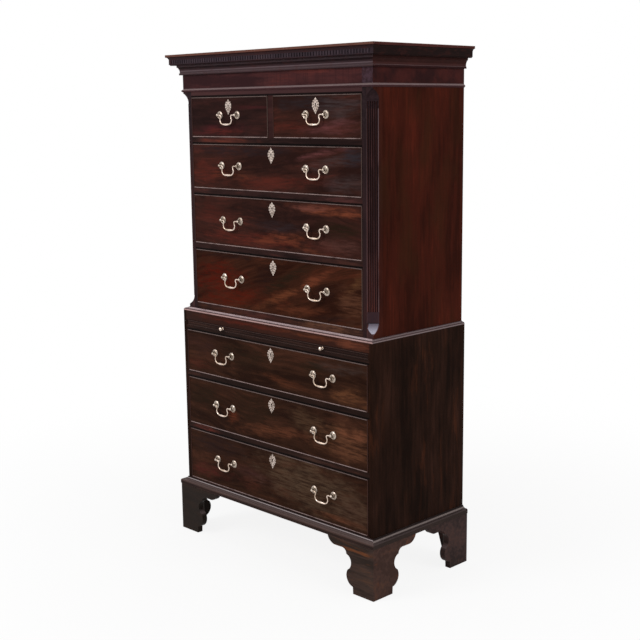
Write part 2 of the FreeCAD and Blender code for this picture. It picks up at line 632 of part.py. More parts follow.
def build_drawer(name, x, opening, floor, height, case_front, handles, rise):
    """One drawer: the beaded front, the dovetailed lining, and the brasses on the front."""
    half = opening - GAP_SIDE
    low = floor + GAP_RUN
    high = floor + height - GAP_TOP
    face = case_front
    behind = face + FRONT
    back = BACK_FACE - GAP_BACK
    side_top = high - SIDE_DROP
    inside = half - LINING
    board_low = low + STRIP_HEIGHT
    board_high = board_low + DRAWER_BOTTOM
    handle_z = floor + height / 2 + rise
    lock_z = high - ESCUTCHEON_DROP + KEYHOLE_RISE

    bottom = block(x - inside, x + inside, behind - BOTTOM_GROOVE, back, board_low, board_high)
    lock_top = high - BEAD
    lock = block(x - LOCK_WIDTH / 2, x + LOCK_WIDTH / 2, behind - LOCK_DEPTH, behind,
                 lock_top - LOCK_HEIGHT, lock_top)
    front = block(x - half, x + half, face, behind, low, lock_top)
    tools = [bottom, lock, key_way(x, face - SLACK, behind, lock_z)]
    tools.append(block(x - half, x + half, face - SLACK, face + BEAD_DEPTH, low, low + BEAD))
    for side in (-1, 1):
        edge = x + side * half
        inner = edge - side * BEAD
        tools.append(block(min(edge, inner), max(edge, inner), face - SLACK, face + BEAD_DEPTH,
                           low, lock_top))
    posts = [(x + centre + side * HANDLE_SPREAD / 2) for centre in handles for side in (-1, 1)]
    for post_x in posts:
        room = POST_SHANK + SHANK_ROOM
        tools.append(along_y(post_x, handle_z, SHANK_SIDES, (face - SLACK, room), (behind + SLACK, room)))

    back_top = side_top - BACK_DROP
    lap = inside + REAR_LAP
    rear = block(x - lap, x + lap, back - LINING, back, board_high, back_top)
    lining = []
    sides = []
    for side in (-1, 1):
        outer = x + side * half
        inner = x + side * inside
        x0, x1 = min(outer, inner), max(outer, inner)
        tools += tails(x0, x1, behind, behind - TAIL, low, side_top)
        sides.append(block(x0, x1, behind - TAIL, back, low, side_top))
        strip = inner - side * STRIP_WIDTH
        lining.append(block(min(inner, strip), max(inner, strip), behind, back, low, board_low))
    front = front.cut(tools)
    lining += [board.cut([front, rear]) for board in sides] + [rear, bottom]
    save(name + "_front", [front] + cockbeads(x, half, face, low, high))
    save(name + "_lining", lining)

    lock = lock.cut(key_way(x, behind - LOCK_DEPTH - SLACK, behind - LOCK_DEPTH / 2, lock_z))
    brasses = [escutcheon(x, face, high - ESCUTCHEON_DROP), lock]
    for index, post_x in enumerate(posts):
        toward = 1 if index % 2 == 0 else -1
        brasses.append(handle_post(post_x, face, behind, handle_z, toward))
    save(name + "_brasses", brasses)
    for index, centre in enumerate(handles):
        label = "" if len(handles) == 1 else ("_left", "_right")[index]
        save(name + label + "_bail", [bail(x + centre, face - PIVOT_OUT, handle_z)])


# ---------------------------------------------------------------- brasses
def handle_post(x, face, behind, z, toward):
    """A domed rose and its post, screwed through the front, with the nut inside."""
    pivot = face - PIVOT_OUT
    room = (BAIL_WIRE + PIN_ROOM) / math.cos(math.pi / WIRE_SIDES)
    turned = along_y(x, z, ROSE_SIDES, (face, ROSE_RADIUS), (face - ROSE_EDGE, ROSE_RADIUS),
                     (face - ROSE_DOME, POST_HEAD), (face - POST_REACH, POST_TIP))
    shank = along_y(x, z, SHANK_SIDES, (face, POST_SHANK), (behind, POST_SHANK))
    nut = block(x - NUT / 2, x + NUT / 2, behind, behind + NUT_THICK, z - NUT / 2, z + NUT / 2)
    eye = along_y(0, 0, WIRE_SIDES, (-SLACK, room), (PIN_DEPTH + PIN_ROOM, room))
    eye.rotate(V(0, 0, 0), V(0, 0, 1), toward * 90)
    eye.translate(V(x + toward * POST_HEAD, pivot, z))
    return turned.fuse([shank, nut]).cut(eye).removeSplitter()


def escutcheon(x, face, z):
    """A lobed leaf, pointed above and below, with a keyhole."""
    leaf = list(LEAF) + [(-a, b) for a, b in reversed(LEAF[1:-1])]
    leaf = spread(leaf, ESCUTCHEON_WIDTH / 2, ESCUTCHEON_HEIGHT / 2, x, z)
    plate = outline(leaf, lambda a, b: V(a, face, b))
    plate = plate.extrude(V(0, -ESCUTCHEON_THICK, 0))
    r, s = KEYHOLE_RADIUS, KEYHOLE_SLOT
    hole = [(s, -KEYHOLE_DROP), (s, -r), (r, 0), (s, r)]
    hole += [(-a, b) for a, b in reversed(hole)]
    hole = outline(hole, lambda a, b: V(x + a, face + SLACK, z + KEYHOLE_RISE + b))
    return plate.cut(hole.extrude(V(0, -ESCUTCHEON_THICK - 2 * SLACK, 0)))


def arc(centre, radius, start, sweep, steps):
    """Points along an arc, after its first."""
    angles = [start + sweep * (index + 1) / steps for index in range(steps)]
    return [(centre[0] + radius * math.cos(angle), centre[1] + radius * math.sin(angle))
            for angle in angles]


def bail(x, y, z):
    """A swan-necked bail: a wire mitred from pin over neck and belly, and a swelling grip."""
    quarter = math.pi / 2
    pin = HANDLE_SPREAD / 2 - POST_HEAD + PIN_DEPTH
    bend = HANDLE_SPREAD / 2 - BAIL_SHOULDER
    path = [(pin, 0.0), (bend, 0.0)]
    path += arc((bend, -BAIL_NECK), BAIL_NECK, quarter, quarter, 1)
    path += arc((bend - BAIL_NECK + BAIL_HOLLOW, -BAIL_NECK), BAIL_HOLLOW, math.pi, BAIL_SPLAY, 1)
    across, down = path[-1]
    belly = (BAIL_DROP + down) / (1 + math.sin(BAIL_SPLAY))
    centre = (across - belly * math.cos(BAIL_SPLAY), down - belly * math.sin(BAIL_SPLAY))
    path += arc(centre, belly, BAIL_SPLAY, -BAIL_SPLAY - quarter, BELLY_STEPS)
    path.append((GRIP_HALF, -BAIL_DROP))
    path += [(0.0, -BAIL_DROP)] + [(-a, b) for a, b in reversed(path)]

    spots = [V(x + a, y, z + b) for a, b in path]
    rings = []
    for index, spot in enumerate(spots):
        arriving = (spot - spots[max(index - 1, 0)])
        leaving = (spots[min(index + 1, len(spots) - 1)] - spot)
        ways = [way.normalize() for way in (arriving, leaving) if way.Length > 0]
        normal = (ways[0] + ways[-1]).cross(V(0, 1, 0)).normalize()
        mitre = 1 / math.sqrt((1 + ways[0].dot(ways[-1])) / 2)
        radius = BAIL_GRIP if index == len(spots) // 2 else BAIL_WIRE
        rings.append(ring(spot, normal * mitre, V(0, 1, 0), radius, WIRE_SIDES))
    return skin(rings)


# ---------------------------------------------------------------- the whole chest
def build_drawers():
    half, middle = short_half()
    for name, x in (("short_left", -middle), ("short_right", middle)):
        build_drawer(name, x, half, SHORT_FLOOR, SHORT_OPENING, UPPER_FRONT, (0.0,),
                     SHORT_HANDLE_RISE)
    upper = zip(UPPER_LONG_OPENINGS, UPPER_FLOORS)
    for (name, height, rise), floor in upper:
        build_drawer("upper_" + name, 0.0, UPPER_OPENING, floor, height, UPPER_FRONT,
                     (-UPPER_HANDLE_X, UPPER_HANDLE_X), rise)
    lower = zip(LOWER_OPENINGS, LOWER_FLOORS)
    for (name, height, rise), floor in lower:
        build_drawer("lower_" + name, 0.0, LOWER_OPENING, floor, height, LOWER_FRONT,
                     (-LOWER_HANDLE_X, LOWER_HANDLE_X), rise)


os.makedirs("parts", exist_ok=True)
build_upper_case()
build_frieze()
build_cornice()
build_lower_case()
build_waist_moulding()
build_base_moulding()
build_feet()
build_slide()
build_drawers()
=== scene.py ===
# A mahogany chest on chest in two cases, with swan-neck brasses. Everything is in metres:
# X runs to the right, Y to the back and Z up, and the drawer fronts face -Y.
import math

import bpy
from mathutils import Matrix, Vector


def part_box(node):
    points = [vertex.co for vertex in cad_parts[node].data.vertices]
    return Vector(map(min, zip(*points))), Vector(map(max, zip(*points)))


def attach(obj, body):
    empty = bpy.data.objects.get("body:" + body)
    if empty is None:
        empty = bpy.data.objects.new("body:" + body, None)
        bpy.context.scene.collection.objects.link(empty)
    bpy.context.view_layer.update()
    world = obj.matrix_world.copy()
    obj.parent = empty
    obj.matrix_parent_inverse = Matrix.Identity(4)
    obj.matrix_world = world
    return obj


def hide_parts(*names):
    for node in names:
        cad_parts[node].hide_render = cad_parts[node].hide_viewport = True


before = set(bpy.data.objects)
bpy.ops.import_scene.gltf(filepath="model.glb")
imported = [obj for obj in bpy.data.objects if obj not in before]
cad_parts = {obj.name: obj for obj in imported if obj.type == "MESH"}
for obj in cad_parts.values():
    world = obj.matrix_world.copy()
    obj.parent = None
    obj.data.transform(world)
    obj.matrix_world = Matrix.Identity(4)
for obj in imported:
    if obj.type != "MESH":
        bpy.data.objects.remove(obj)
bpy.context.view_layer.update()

MM = 0.001
UPPER_FACE = -0.20815  # planes of the drawer fronts
LOWER_FACE = -0.22815
UPPER_HANDLES = (-0.221881, 0.221881)  # from the middle of a long drawer
LOWER_HANDLES = (-0.265845, 0.265845)

# Each row: drawer, middle of its front, plane of its face, places of its handles from the middle,
# height of the handle pivots.
DRAWERS = (
    ("short_left", -0.2255, UPPER_FACE, (0.0,), 1.628),
    ("short_right", 0.2255, UPPER_FACE, (0.0,), 1.628),
    ("upper_first", 0.0, UPPER_FACE, UPPER_HANDLES, 1.44575),
    ("upper_second", 0.0, UPPER_FACE, UPPER_HANDLES, 1.246),
    ("upper_third", 0.0, UPPER_FACE, UPPER_HANDLES, 1.0325),
    ("lower_top", 0.0, LOWER_FACE, LOWER_HANDLES, 0.7395),
    ("lower_middle", 0.0, LOWER_FACE, LOWER_HANDLES, 0.53875),
    ("lower_bottom", 0.0, LOWER_FACE, LOWER_HANDLES, 0.322),
)
BEAD = 0.003  # width of a cockbead
BEAD_REACH = 0.0045  # from the edge of a front to just past its bead
BEAD_PROUD = 0.0002  # what stands further forward than this is bead
FRONT_THICK = 0.022
HANDLE_SPREAD = 0.096
PIVOT_OUT = 0.0135
ESCUTCHEON_DROP = 0.036  # from the head of a front to the middle of its escutcheon
BACK_BOARDS = 5
RIGHT_THROUGH = 1e3  # half the depth of a patch, so that it never fades from front to back

# Lines and levels that the finishes follow.
CORNICE_MITRE = 0.2774  # distance across plus y, along the mitres of the cornice
CASE_MITRE = 0.27135  # and along those of the waist, the base and the front feet
FRIEZE_BLOCK = 0.4385  # inner edge of the block over the right corner
FRIEZE_FRONT = UPPER_FACE + 0.0005  # just behind the face of the frieze
PARTITION_FOOT = 1.5485
TOP_RAIL_FOOT = 1.694
UPPER_HEADS = (1.128, 1.3355, 1.5245, 1.695)  # heads of the drawer openings
LOWER_HEADS = (0.418, 0.6265, 0.813)
FASCIA_FOOT = 0.8495  # head of the slide's opening
UPPER_RAIL_MIDDLE = (0.0, 1.536)  # across and up, where the patches are measured from
LOWER_RAIL_MIDDLE = (0.0, 0.867)
RIGHT_FOOT_MIDDLE = (0.42, 0.15)
TONGUE_FOOT = 0.9085  # point of the lower tongue of a canted corner
TONGUE_HEAD = TONGUE_FOOT + 0.037
FLUTE_FOOT = 0.984
FLUTE_HEAD = 1.645
CANT_ACROSS = 0.4715  # a point on the canted face: its distance across, and y
CANT_DEEP = -0.19415
OUTER_ARRIS = (0.4838, 0.4858)  # the edges of the cant and its tongue, by distance across
INNER_ARRIS = (0.4568, 0.4580)
TONGUE_SIDES = (0.4602, 0.4834)


# ---------------- shader helpers
def tint(red, green, blue):
    """A colour given as the 0 to 255 values that a screen shows."""
    def linear(value):
        share = value / 255
        return share / 12.92 if share <= 0.04045 else ((share + 0.055) / 1.055) ** 2.4
    return (linear(red), linear(green), linear(blue), 1.0)


def fill(tree, node, sockets):
    """Links or sets the sockets of a node. A colour may come as three screen values."""
    for key, value in sockets.items():
        socket = node.inputs[key]
        if isinstance(value, bpy.types.NodeSocket):
            tree.links.new(value, socket)
        elif socket.type == "RGBA" and len(value) == 3:
            socket.default_value = tint(*value)
        else:
            socket.default_value = value


def put(tree, kind, sockets=None, **settings):
    """The outputs of a new shader node. Its settings go in first, then its sockets."""
    node = tree.nodes.new("ShaderNode" + kind)
    for key, value in settings.items():
        setattr(node, key, value)
    fill(tree, node, sockets or {})
    return node.outputs


def put_after(kind, sockets, **settings):
    """The outputs of a new node in the tree that its linked sockets belong to."""
    tree = next(value.id_data for value in sockets.values()
                if isinstance(value, bpy.types.NodeSocket))
    return put(tree, kind, sockets, **settings)


def maths(operation, *values):
    return put_after("Math", dict(enumerate(values)), operation=operation)[0]


def times(first, *others):
    """The product of all its values."""
    for other in others:
        first = maths("MULTIPLY", first, other)
    return first


def plus(first, second):
    return maths("ADD", first, second)


def minus(first, second):
    return maths("SUBTRACT", first, second)


def opposite(mask):
    """1 where a mask is 0, and 0 where it is 1."""
    return minus(1.0, mask)


def above(value, limit):
    return maths("GREATER_THAN", value, limit)


def below(value, limit):
    return maths("LESS_THAN", value, limit)


def within(value, low, high):
    """1 where a value lies between two limits."""
    return times(above(value, low), below(value, high))


def vectors(operation, *values):
    return put_after("VectorMath", dict(enumerate(values)), operation=operation)[0]


def length(vector):
    return put_after("VectorMath", {0: vector}, operation="LENGTH")["Value"]


def turned_to(place, turn):
    """A place turned so that the grain runs along its X."""
    return put_after("VectorRotate", {"Vector": place, "Rotation": turn},
                     rotation_type="EULER_XYZ")[0]


def ramped(value, low, high, first=0.0, last=1.0):
    """One value below low and another above high, with a smooth rise between them."""
    return put_after("MapRange", {0: value, 1: low, 2: high, 3: first, 4: last},
                     interpolation_type="SMOOTHSTEP")[0]


def spread(value, low, high, first, last):
    """The same as ramped, but with a straight rise."""
    return put_after("MapRange", {0: value, 1: low, 2: high, 3: first, 4: last})[0]


def blended(factor, first, second):
    return put_after("Mix", {0: factor, 6: first, 7: second}, data_type="RGBA")[2]


def toned(colour, mask, amount, tone):
    """A colour drawn towards another where a mask is, by an amount."""
    return blended(times(mask, amount), colour, tone)


def noise(place, scale, detail=3.0, roughness=0.5):
    return put_after("TexNoise", {"Vector": place, "Scale": scale, "Detail": detail,
                                  "Roughness": roughness})[0]


def drawn(place, stretch, detail=3.0, roughness=0.5):
    """Noise with a scale for each axis: a small one draws it out along that axis."""
    return noise(vectors("MULTIPLY", place, stretch), 1.0, detail, roughness)


def split(vector):
    return put_after("SeparateXYZ", {0: vector})


def effect(name, inputs, outputs):
    """An empty node group. Its inputs and outputs give the kind of each socket by its name."""
    tree = bpy.data.node_groups.new(name, "ShaderNodeTree")
    for way, sockets in (("INPUT", inputs), ("OUTPUT", outputs)):
        for label, kind in sockets.items():
            tree.interface.new_socket(name=label, in_out=way, socket_type="NodeSocket" + kind)
    entry = tree.nodes.new("NodeGroupInput").outputs
    leave = tree.nodes.new("NodeGroupOutput")
    return tree, entry, leave


# ---------------- shared effects
def build_mahogany_grain():
    """Figured mahogany: broad clouds, ribbons along the grain, fine lines and open pores."""
    tree, entry, leave = effect(
        "mahogany grain",
        {"Place": "Vector", "Turn": "Vector", "Seed": "Float", "Dark": "Color", "Body": "Color",
         "Warm": "Color", "Flame": "Color", "Flames": "Float", "Ribbons": "Float",
         "Clouds": "Float", "Sway": "Float"},
        {"Color": "Color", "Height": "Float"})
    drift = put_after("TexNoise", {"Vector": entry["Place"], "Scale": 2.3, "Detail": 2.0})["Color"]
    drift = vectors("SUBTRACT", drift, (0.5, 0.5, 0.5))
    drift = put_after("VectorMath", {0: drift, "Scale": entry["Sway"]}, operation="SCALE")[0]
    along = vectors("ADD", turned_to(entry["Place"], entry["Turn"]), drift)
    along = vectors("ADD", along, entry["Seed"])

    clouds = drawn(along, (2.6, 9.0, 9.0), 5.0, 0.6)
    ribbons = drawn(along, (4.0, 70.0, 70.0), 4.0, 0.6)
    flames = drawn(along, (7.0, 46.0, 46.0), 4.0, 0.6)
    flames_where = drawn(along, (2.4, 7.0, 7.0), 2.0)
    lines = drawn(along, (14.0, 420.0, 420.0), 2.0, 0.6)
    pores = drawn(along, (90.0, 1500.0, 1500.0), 1.0)

    lift = times(minus(ribbons, 0.5), entry["Ribbons"])
    tone = plus(times(clouds, entry["Clouds"]), lift)
    colour = blended(ramped(tone, 0.36, 0.54), entry["Dark"], entry["Body"])
    colour = blended(ramped(tone, 0.52, 0.70), colour, entry["Warm"])
    burning = times(ramped(flames, 0.52, 0.68), ramped(flames_where, 0.42, 0.62))
    colour = toned(colour, burning, entry["Flames"], entry["Flame"])
    fine = ramped(lines, 0.38, 0.60)
    colour = toned(colour, opposite(fine), 0.30, entry["Dark"])
    pitted = plus(times(ramped(pores, 0.30, 0.45), 0.6), times(fine, 0.4))
    fill(tree, leave, {"Color": colour, "Height": pitted})
    return tree


def build_plain_grain():
    """Bare oak or pine in boards: growth rings, fibres, stains and the dark joints."""
    tree, entry, leave = effect(
        "plain grain",
        {"Place": "Vector", "Turn": "Vector", "Early": "Color", "Late": "Color", "Grey": "Color",
         "Age": "Float", "Board": "Float", "Edge": "Float"},
        {"Color": "Color", "Height": "Float"})
    turned = turned_to(entry["Place"], entry["Turn"])
    _, deep, wide = split(turned)
    across = plus(wide, deep)
    from_edge = minus(across, entry["Edge"])
    board = maths("FLOOR", maths("DIVIDE", from_edge, entry["Board"]))
    chance = put_after("TexWhiteNoise", {"W": board}, noise_dimensions="1D")["Value"]
    shift = put_after("CombineXYZ", {0: times(chance, 9.0), 1: chance, 2: chance})[0]
    own = vectors("ADD", turned, shift)

    sway = drawn(own, (0.8, 6.0, 6.0), 2.0)
    gathered = drawn(own, (0.3, 22.0, 22.0), 2.0)
    phase = plus(times(across, 150.0), times(sway, 26.0))
    phase = plus(phase, times(gathered, 34.0))
    rings = plus(times(maths("SINE", phase), 0.5), 0.5)
    faded = spread(drawn(own, (1.8, 30.0, 30.0), 2.0), 0.36, 0.66, 0.08, 0.55)
    colour = toned(entry["Early"], ramped(rings, 0.35, 1.0), faded, entry["Late"])
    fibres = drawn(own, (12.0, 400.0, 400.0))
    colour = toned(colour, ramped(fibres, 0.38, 0.62), 0.4, entry["Late"])
    stain = ramped(drawn(own, (1.4, 6.0, 6.0), 4.0, 0.6), 0.40, 0.66)
    stain = plus(stain, times(chance, 0.4))
    colour = toned(colour, stain, entry["Age"], entry["Grey"])
    from_joint = maths("PINGPONG", from_edge, times(entry["Board"], 0.5))
    joint = opposite(ramped(from_joint, 0.0006, 0.0026))
    colour = toned(colour, joint, 0.75, (34, 24, 18))
    fill(tree, leave, {"Color": colour, "Height": fibres})
    return tree


def build_rubbed_polish():
    """Old polish: broad dull and bright places, with fine rubbing in them."""
    tree, entry, leave = effect("rubbed polish",
                                {"Place": "Vector", "Bright": "Float", "Dull": "Float"},
                                {"Roughness": "Float"})
    broad = ramped(noise(entry["Place"], 6.0), 0.35, 0.68)
    fine = noise(entry["Place"], 160.0, 2.0)
    share = plus(times(broad, 0.8), times(fine, 0.2))
    fill(tree, leave, {"Roughness": spread(share, 0.0, 1.0, entry["Bright"], entry["Dull"])})
    return tree


def build_dust_and_sheen_group():
    """Dust, pale wear and a painted sheen of reflected sky on whatever faces up, patchy, over a
    base colour.
    """
    tree, entry, leave = effect(
        "dust and painted sheen",
        {"Color": "Color", "Dust and sheen": "Color", "Amount": "Float", "Place": "Vector"},
        {"Color": "Color", "Mask": "Float"})
    upward = ramped(split(put(tree, "TexCoord")["Normal"])[2], 0.25, 0.8)
    patches = plus(0.6, noise(entry["Place"], 40.0))
    # the mask is dust, and a painted sheen that pales up-facing surfaces as a reflected sky would
    mask = times(upward, patches, entry["Amount"])
    fill(tree, leave, {"Color": blended(mask, entry["Color"], entry["Dust and sheen"]), "Mask": mask})
    return tree


MAHOGANY = build_mahogany_grain()
PLAIN_WOOD = build_plain_grain()
POLISH = build_rubbed_polish()
DUST_SHEEN_GROUP = build_dust_and_sheen_group()


# ---------------- materials
def material(name):
    """A new material with its tree, its shader and the object's own place in the frame."""
    made = bpy.data.materials.new(name)
    made.use_nodes = True
    tree = made.node_tree
    return made, tree, tree.nodes["Principled BSDF"], put(tree, "TexCoord")["Object"]


def bump(height, strength, distance):
    return put_after("Bump", {"Height": height, "Strength": strength, "Distance": distance})[0]


ALONG_X = (0.0, 0.0, 0.0)
ALONG_Y = (0.0, 0.0, math.radians(90))
UPRIGHT = (0.0, math.radians(90), 0.0)
# colours of dust, and of the painted sheen laid with it on up-facing surfaces
PALE_DUST_AND_SHEEN = (150, 132, 134)
YELLOW_DUST_AND_SHEEN = (150, 140, 126)


def figured(place, turn, dark, body, warm, flame=(110, 52, 30), flames=0.0, ribbons=0.6,
            clouds=1.0, sway=0.06, seed=0.0):
    """The colour and the height of figured mahogany."""
    return put_after("Group", {
        "Place": place, "Turn": turn, "Seed": seed, "Dark": dark, "Body": body, "Warm": warm,
        "Flame": flame, "Flames": flames, "Ribbons": ribbons, "Clouds": clouds, "Sway": sway},
        node_tree=MAHOGANY)


# dust, and a painted sheen of reflected sky, over whatever faces up
def dust_and_sheen_over(place, colour, dust_and_sheen, amount):
    return put_after("Group", {"Color": colour, "Dust and sheen": dust_and_sheen, "Amount": amount, "Place": place},
                     node_tree=DUST_SHEEN_GROUP)


def polished(place, bright, dull):
    return put_after("Group", {"Place": place, "Bright": bright, "Dull": dull},
                     node_tree=POLISH)["Roughness"]


def mahogany(name, turn, dust_and_sheen=0.25, gloss=0.02, bright=0.24, dull=0.42, change=None, **figure):
    """Polished mahogany. A change alters the colour by place before the dust and the painted sheen
    go over it.
    """
    made, tree, shader, place = material(name)
    grain = figured(place, turn, **figure)
    colour = change(place, grain["Color"]) if change else grain["Color"]
    dusted_and_sheened = dust_and_sheen_over(place, colour, PALE_DUST_AND_SHEEN, dust_and_sheen)
    rough = plus(polished(place, bright, dull), times(dusted_and_sheened["Mask"], 0.4))
    fill(tree, shader, {"Base Color": dusted_and_sheened["Color"], "Roughness": rough,
                        "Specular IOR Level": gloss, "Normal": bump(grain["Height"], 0.25, 0.0002)})
    return made


def plain_wood(name, turn, early, late, grey, age, board=3.0, edge=-1.5):
    """Bare wood in boards of one width, counted from one edge. A wide one shows no joints."""
    made, tree, shader, place = material(name)
    grain = put_after("Group", {
        "Place": place, "Turn": turn, "Early": early, "Late": late, "Grey": grey, "Age": age,
        "Board": board, "Edge": edge}, node_tree=PLAIN_WOOD)
    # dust, and a painted sheen, on whatever faces up
    dusted_and_sheened = dust_and_sheen_over(place, grain["Color"], YELLOW_DUST_AND_SHEEN, 0.25)
    fill(tree, shader, {"Base Color": dusted_and_sheened["Color"], "Roughness": polished(place, 0.6, 0.85),
                        "Specular IOR Level": 0.3, "Normal": bump(grain["Height"], 0.4, 0.0003)})
    return made


def brass(name, clean, tarnish, dirt, amount, sunk=None):
    """Worn cast brass: bright where it is handled, olive and brown where it is not. A sunk colour,
    dirt and painted shade, lies wherever the piece's own marks call it hollow."""
    made, tree, shader, place = material(name)
    broad = noise(place, 60.0, 4.0, 0.6)
    fine = noise(place, 700.0, 3.0, 0.6)
    colour = blended(ramped(broad, 0.40, 0.66), clean, tarnish)
    deep = ramped(put(tree, "NewGeometry")["Pointiness"], 0.50, 0.44)
    colour = toned(colour, deep, amount, dirt)
    colour = toned(colour, ramped(fine, 0.62, 0.74), 0.5, dirt)
    if sunk:
        marks = put(tree, "Attribute", attribute_name="hollow")["Fac"]
        hollow_dirt_and_shade = times(marks, ramped(broad, 0.3, 0.6))
        colour = toned(colour, hollow_dirt_and_shade, 0.8, sunk)
    worn = plus(broad, times(deep, 0.4))
    fill(tree, shader, {"Base Color": colour, "Metallic": 1.0,
                        "Roughness": spread(worn, 0.3, 1.0, 0.22, 0.55),
                        "Normal": bump(fine, 0.2, 0.0001)})
    return made


# ---------------- colours by place
def patched(place, colour, middle, patches):
    """Soft streaks and clouds of another colour, drawn out along the board and broken by grain.

    A patch gives its middle across and up from the board's own, its half width and half height,
    all in millimetres, then its tilt in degrees, its colour and its strength.
    """
    ragged = times(minus(drawn(place, (12.0, 26.0, 26.0), 5.0, 0.65), 0.5), 2.4)
    streaky = spread(drawn(place, (17.0, 150.0, 150.0), 4.0, 0.6), 0.36, 0.60, 0.15, 1.0)
    for across, up, wide, high, tilt, patch, amount in patches:
        local = put_after("Mapping", {
            "Vector": place, "Location": (middle[0] + across * MM, 0.0, middle[1] + up * MM),
            "Rotation": (0.0, math.radians(-tilt), 0.0),
            "Scale": (wide * MM, RIGHT_THROUGH, high * MM)}, vector_type="TEXTURE")[0]
        away = plus(length(local), ragged)
        inside = times(opposite(ramped(away, 0.2, 1.35)), streaky)
        colour = toned(colour, inside, amount, patch)
    return colour


def banded(height, colour, bands, edge=0.0005):
    """Level bands of other colours. A band gives its foot, its head, its colour and strength."""
    for low, high, band, amount in bands:
        inside = times(ramped(height, low - edge, low + edge),
                       opposite(ramped(height, high - edge, high + edge)))
        colour = toned(colour, inside, amount, band)
    return colour


def moulded(place, colour, mitre, foot, front, flank, edge):
    """A moulding's bands, which follow one another up from its foot: some along the front, others
    past its mitres. A band gives its head, its colour and strength."""
    x, y, z = split(place)
    past = above(plus(maths("ABSOLUTE", x), y), mitre)
    sides = []
    for rows in (front, flank):
        feet = [foot] + [row[0] for row in rows]
        sides.append(banded(z, colour, [(low, *row) for low, row in zip(feet, rows)], edge))
    return blended(past, *sides)


def shaded_rail_edges(z, colour, heads):
    """A dark band of painted shade along the lower edge of each rail, over the drawer below it."""
    for head in heads:
        # near-black painted shade where the gap over the drawer lies in shadow
        colour = banded(z, colour, ((head - 0.001, head + 0.005, (7, 4, 4), 0.9),), 0.0015)
    return colour


# Bead colours: a painted highlight with some wear on the top and foot beads, painted shade on the
# side beads.
BEAD_HIGHLIGHT_TINT = (102, 88, 84)
BEAD_FOOT_HIGHLIGHT_TINT = (141, 122, 119)
BEAD_SHADED_TINT = (66, 45, 41)
BEAD_HALF_SHADED_TINT = (84, 68, 63)
BEAD_WORN_TINT = (72, 50, 47)


def beaded(place, colour, face, low, high):
    """The cockbeads stand in front of the face, painted paler as a highlight with some wear, palest
    along the drawer's foot, and darker with painted shade at the sides.
    """
    x, y, z = split(place)
    proud = below(y, face - BEAD_PROUD)
    foot = below(z, low.z + BEAD_REACH)
    left = below(x, low.x + BEAD_REACH)
    right = above(x, high.x - BEAD_REACH)
    right_tint = BEAD_HALF_SHADED_TINT if face == UPPER_FACE else BEAD_SHADED_TINT
    worn = ramped(noise(place, 30.0), 0.42, 0.85)
    bead = blended(foot, BEAD_HIGHLIGHT_TINT, BEAD_FOOT_HIGHLIGHT_TINT)
    bead = blended(worn, bead, BEAD_WORN_TINT)
    bead = blended(left, bead, BEAD_SHADED_TINT)
    bead = blended(right, bead, right_tint)
    return toned(colour, proud, 0.92, bead)


def drawer_wood(drawer, seed, tilt, flames, palette, patches):
    """Veneer for one drawer front, with its own figure and its beads."""
    face = {row[0]: row[2] for row in DRAWERS}[drawer]
    low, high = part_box(drawer + "_front")
    middle = ((low.x + high.x) / 2, (low.z + high.z) / 2)

    def change(place, colour):
        return beaded(place, patched(place, colour, middle, patches), face, low, high)

    dark, body, warm, flame = palette
    return mahogany("veneer " + drawer.replace("_", " "), (0.0, math.radians(tilt), 0.0),
                    dust_and_sheen=0.15, gloss=0.012, bright=0.2, dull=0.38, change=change, dark=dark,
                    body=body, warm=warm, flame=flame, flames=flames, ribbons=0.7, sway=0.10,
                    seed=seed)


def cornice_zones(place, colour):
    """A worn brown top edge, a dark fascia with painted soffit shadow under it, and a bed mould
    whose pale edges are painted highlights with some wear; redder, and darker with painted shade,
    along the sides."""
    # pale bands are painted highlights, near-black ones are painted soffit shadow, and the lilac
    # front tints are painted sky reflection
    colour = moulded(place, colour, CORNICE_MITRE, 1.7755, (
        (1.7785, (50, 39, 41), 0.85), (1.7885, (68, 55, 58), 0.85), (1.7925, (92, 78, 82), 0.85),
        (1.7978, (52, 39, 42), 0.85), (1.8048, (28, 17, 19), 0.9), (1.8110, (72, 60, 63), 0.85),
        (1.8142, (28, 18, 20), 0.9), (1.8320, (46, 37, 42), 0.85), (1.8395, (44, 31, 34), 0.8),
        (1.8425, (42, 22, 22), 0.8), (1.8510, (102, 68, 58), 0.8)), (
        (1.7817, (36, 18, 19), 0.85), (1.7850, (72, 50, 50), 0.85), (1.7912, (58, 34, 32), 0.8),
        (1.8110, (42, 21, 18), 0.85), (1.8320, (25, 16, 15), 0.95), (1.8410, (25, 16, 14), 0.95),
        (1.8475, (66, 34, 30), 0.6), (1.8510, (92, 52, 42), 0.6)), 0.0006)
    mottled = drawn(place, (30.0, 30.0, 80.0), 4.0, 0.65)
    return toned(colour, ramped(mottled, 0.48, 0.7), 0.3, (64, 30, 27))


def frieze_zones(place, colour):
    """Faint crossbanding, a greyer block over the right corner, blotched sides, and an astragal
    with a pale painted highlight."""
    x, y, z = split(place)
    bars = ramped(drawn(place, (120.0, 120.0, 5.0)), 0.50, 0.62)
    colour = toned(colour, bars, 0.3, (40, 22, 24))
    mottled = ramped(noise(place, 90.0, 4.0, 0.7), 0.4, 0.65)
    grey = blended(mottled, (66, 50, 60), (42, 30, 35))
    block = times(above(x, FRIEZE_BLOCK), below(y, FRIEZE_FRONT))
    colour = toned(colour, block, 0.7, grey)
    blotched = ramped(noise(place, 14.0, 4.0, 0.6), 0.35, 0.65)
    flank = blended(blotched, (34, 14, 14), (58, 24, 21))
    colour = toned(colour, above(y, FRIEZE_FRONT), 0.85, flank)
    # the pale upper band is a painted highlight along the astragal
    return banded(z, colour, ((1.7125, 1.7198, (60, 38, 40), 0.7),
                              (1.7200, 1.7254, (124, 106, 106), 0.8)))


